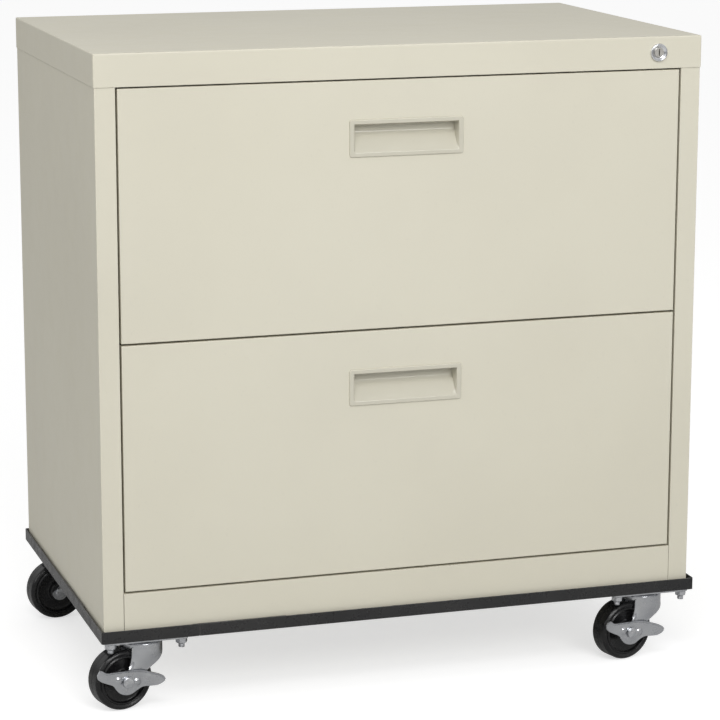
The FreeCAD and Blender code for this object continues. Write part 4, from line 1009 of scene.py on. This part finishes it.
ballRows = {"spacing": 0.0125, "outerRadius": 0.00092, "innerRadius": 0.0028, "ends": 0.02,
            "member": 0.0012, "outerInset": 0.0030, "innerInset": 0.0018}
ballTree = makeBallTree()
for drawer in ("upper", "lower"):
    node = drawer + "_slide_middle_members"
    low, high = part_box(node)
    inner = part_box(drawer + "_slide_drawer_members")
    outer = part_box(drawer + "_slide_cabinet_members")
    middleZ = (low.z + high.z) / 2
    count = int((high.y - low.y - 2 * ballRows["ends"]) / ballRows["spacing"])
    outerSpots, innerSpots = [], []
    for side in (-1, 1):
        for up in (-1, 1):
            for step in range(count + 1):
                y = low.y + ballRows["ends"] + step * ballRows["spacing"]
                outerZ = (high.z + outer[1].z - ballRows["member"]) / 2 - middleZ
                outerX = side * (high.x - ballRows["outerInset"])
                outerSpots.append((outerX, y, middleZ + up * outerZ))
                innerZ = (high.z - ballRows["member"] + inner[1].z) / 2 - middleZ
                innerX = side * (inner[1].x - ballRows["innerInset"])
                innerSpots.append((innerX, y, middleZ + up * innerZ))
    scatter(node + "_outer_balls", ballTree, outerSpots, {"Radius": ballRows["outerRadius"]}, node, [])
    scatter(node + "_inner_balls", ballTree, innerSpots, {"Radius": ballRows["innerRadius"]}, node, [])
print("bolts and balls placed")


# Floor, light and camera

floorLook = {"size": 14.0, "shade": (0.58, 0.58, 0.58, 1), "rough": 0.9, "gloss": 0.1, "glow": 0.62}


def makeFloor(look):
    # a pale sweep that is a little brighter to the eye than to the object above it
    bm = bmesh.new()
    bmesh.ops.create_grid(bm, x_segments=4, y_segments=4, size=look["size"])
    floor = newObject("floor", bm)
    made, shader, _ = startMaterial("paleFloor", {"Base Color": look["shade"], "Roughness": look["rough"],
                                                  "Specular IOR Level": look["gloss"],
                                                  "Emission Color": (1, 1, 1, 1)})
    seen = made.node_tree.nodes.new("ShaderNodeLightPath")
    glow = addMath(made.node_tree, "MULTIPLY", seen.outputs["Is Camera Ray"], look["glow"])
    made.node_tree.links.new(glow, shader.inputs["Emission Strength"])
    floor.data.materials.append(made)


studio = {"horizon": 0.34, "shoulder": 0.74, "fall": 0.34, "bottom": 0.05, "middle": 0.5, "top": 1.0}


def makeStudio(look):
    # soft light, dimmer near the horizon and straight overhead, on a white backdrop
    world = bpy.data.worlds.new("studio")
    bpy.context.scene.world = world
    world.use_nodes = True
    tree = world.node_tree
    sky = tree.nodes["Background"]
    sky.inputs["Color"].default_value = (1, 1, 1, 1)
    coords = tree.nodes.new("ShaderNodeTexCoord")
    split = tree.nodes.new("ShaderNodeSeparateXYZ")
    tree.links.new(coords.outputs["Generated"], split.inputs[0])
    level = addRange(tree, split.outputs["Z"], look["bottom"], look["middle"],
                     look["horizon"], look["shoulder"])
    overhead = addRange(tree, split.outputs["Z"], look["middle"], look["top"], 0.0, look["fall"])
    level = addMath(tree, "SUBTRACT", level, overhead)
    seen = tree.nodes.new("ShaderNodeLightPath")
    level = addMath(tree, "MAXIMUM", level, seen.outputs["Is Camera Ray"])
    tree.links.new(level, sky.inputs["Strength"])


def addLight(name, spot, aim, size, power):
    data = bpy.data.lights.new(name, "AREA")
    data.shape = "RECTANGLE"
    data.size, data.size_y = size
    data.energy = power
    lamp = bpy.data.objects.new(name, data)
    lamp.location = spot
    lamp.rotation_euler = (Vector(aim) - Vector(spot)).to_track_quat("-Z", "Y").to_euler()
    bpy.context.scene.collection.objects.link(lamp)


makeFloor(floorLook)
makeStudio(studio)
addLight("frontSoftbox", (0.4, -3.1, 2.0), (-0.05, -0.2, 0.66), (1.5, 1.0), 37.0)
addLight("highSoftbox", (-0.8, -2.0, 2.5), (0, -0.2, 0.8), (1.6, 0.9), 23.0)
addLight("leftStrip", (-3.0, -0.6, 1.9), (-0.4, 0, 0.5), (0.5, 1.6), 12.0)

cameraView = {"spot": (-1.057, -3.386, 1.141), "yaw": 17.57, "pitch": 12.32, "roll": -0.09,
              "lens": 139.4, "sensor": 36, "sees": 60}
lens = bpy.data.cameras.new("camera")
lens.sensor_width = cameraView["sensor"]
lens.lens = cameraView["lens"]
lens.clip_end = cameraView["sees"]
camera = bpy.data.objects.new("camera", lens)
camera.location = cameraView["spot"]
camera.rotation_mode = "XYZ"
camera.rotation_euler = (math.radians(90 - cameraView["pitch"]), math.radians(cameraView["roll"]),
                         math.radians(-cameraView["yaw"]))
bpy.context.scene.collection.objects.link(camera)
bpy.context.scene.camera = camera
bpy.context.scene.view_settings.view_transform = "Standard"
print("stage, light and camera set")
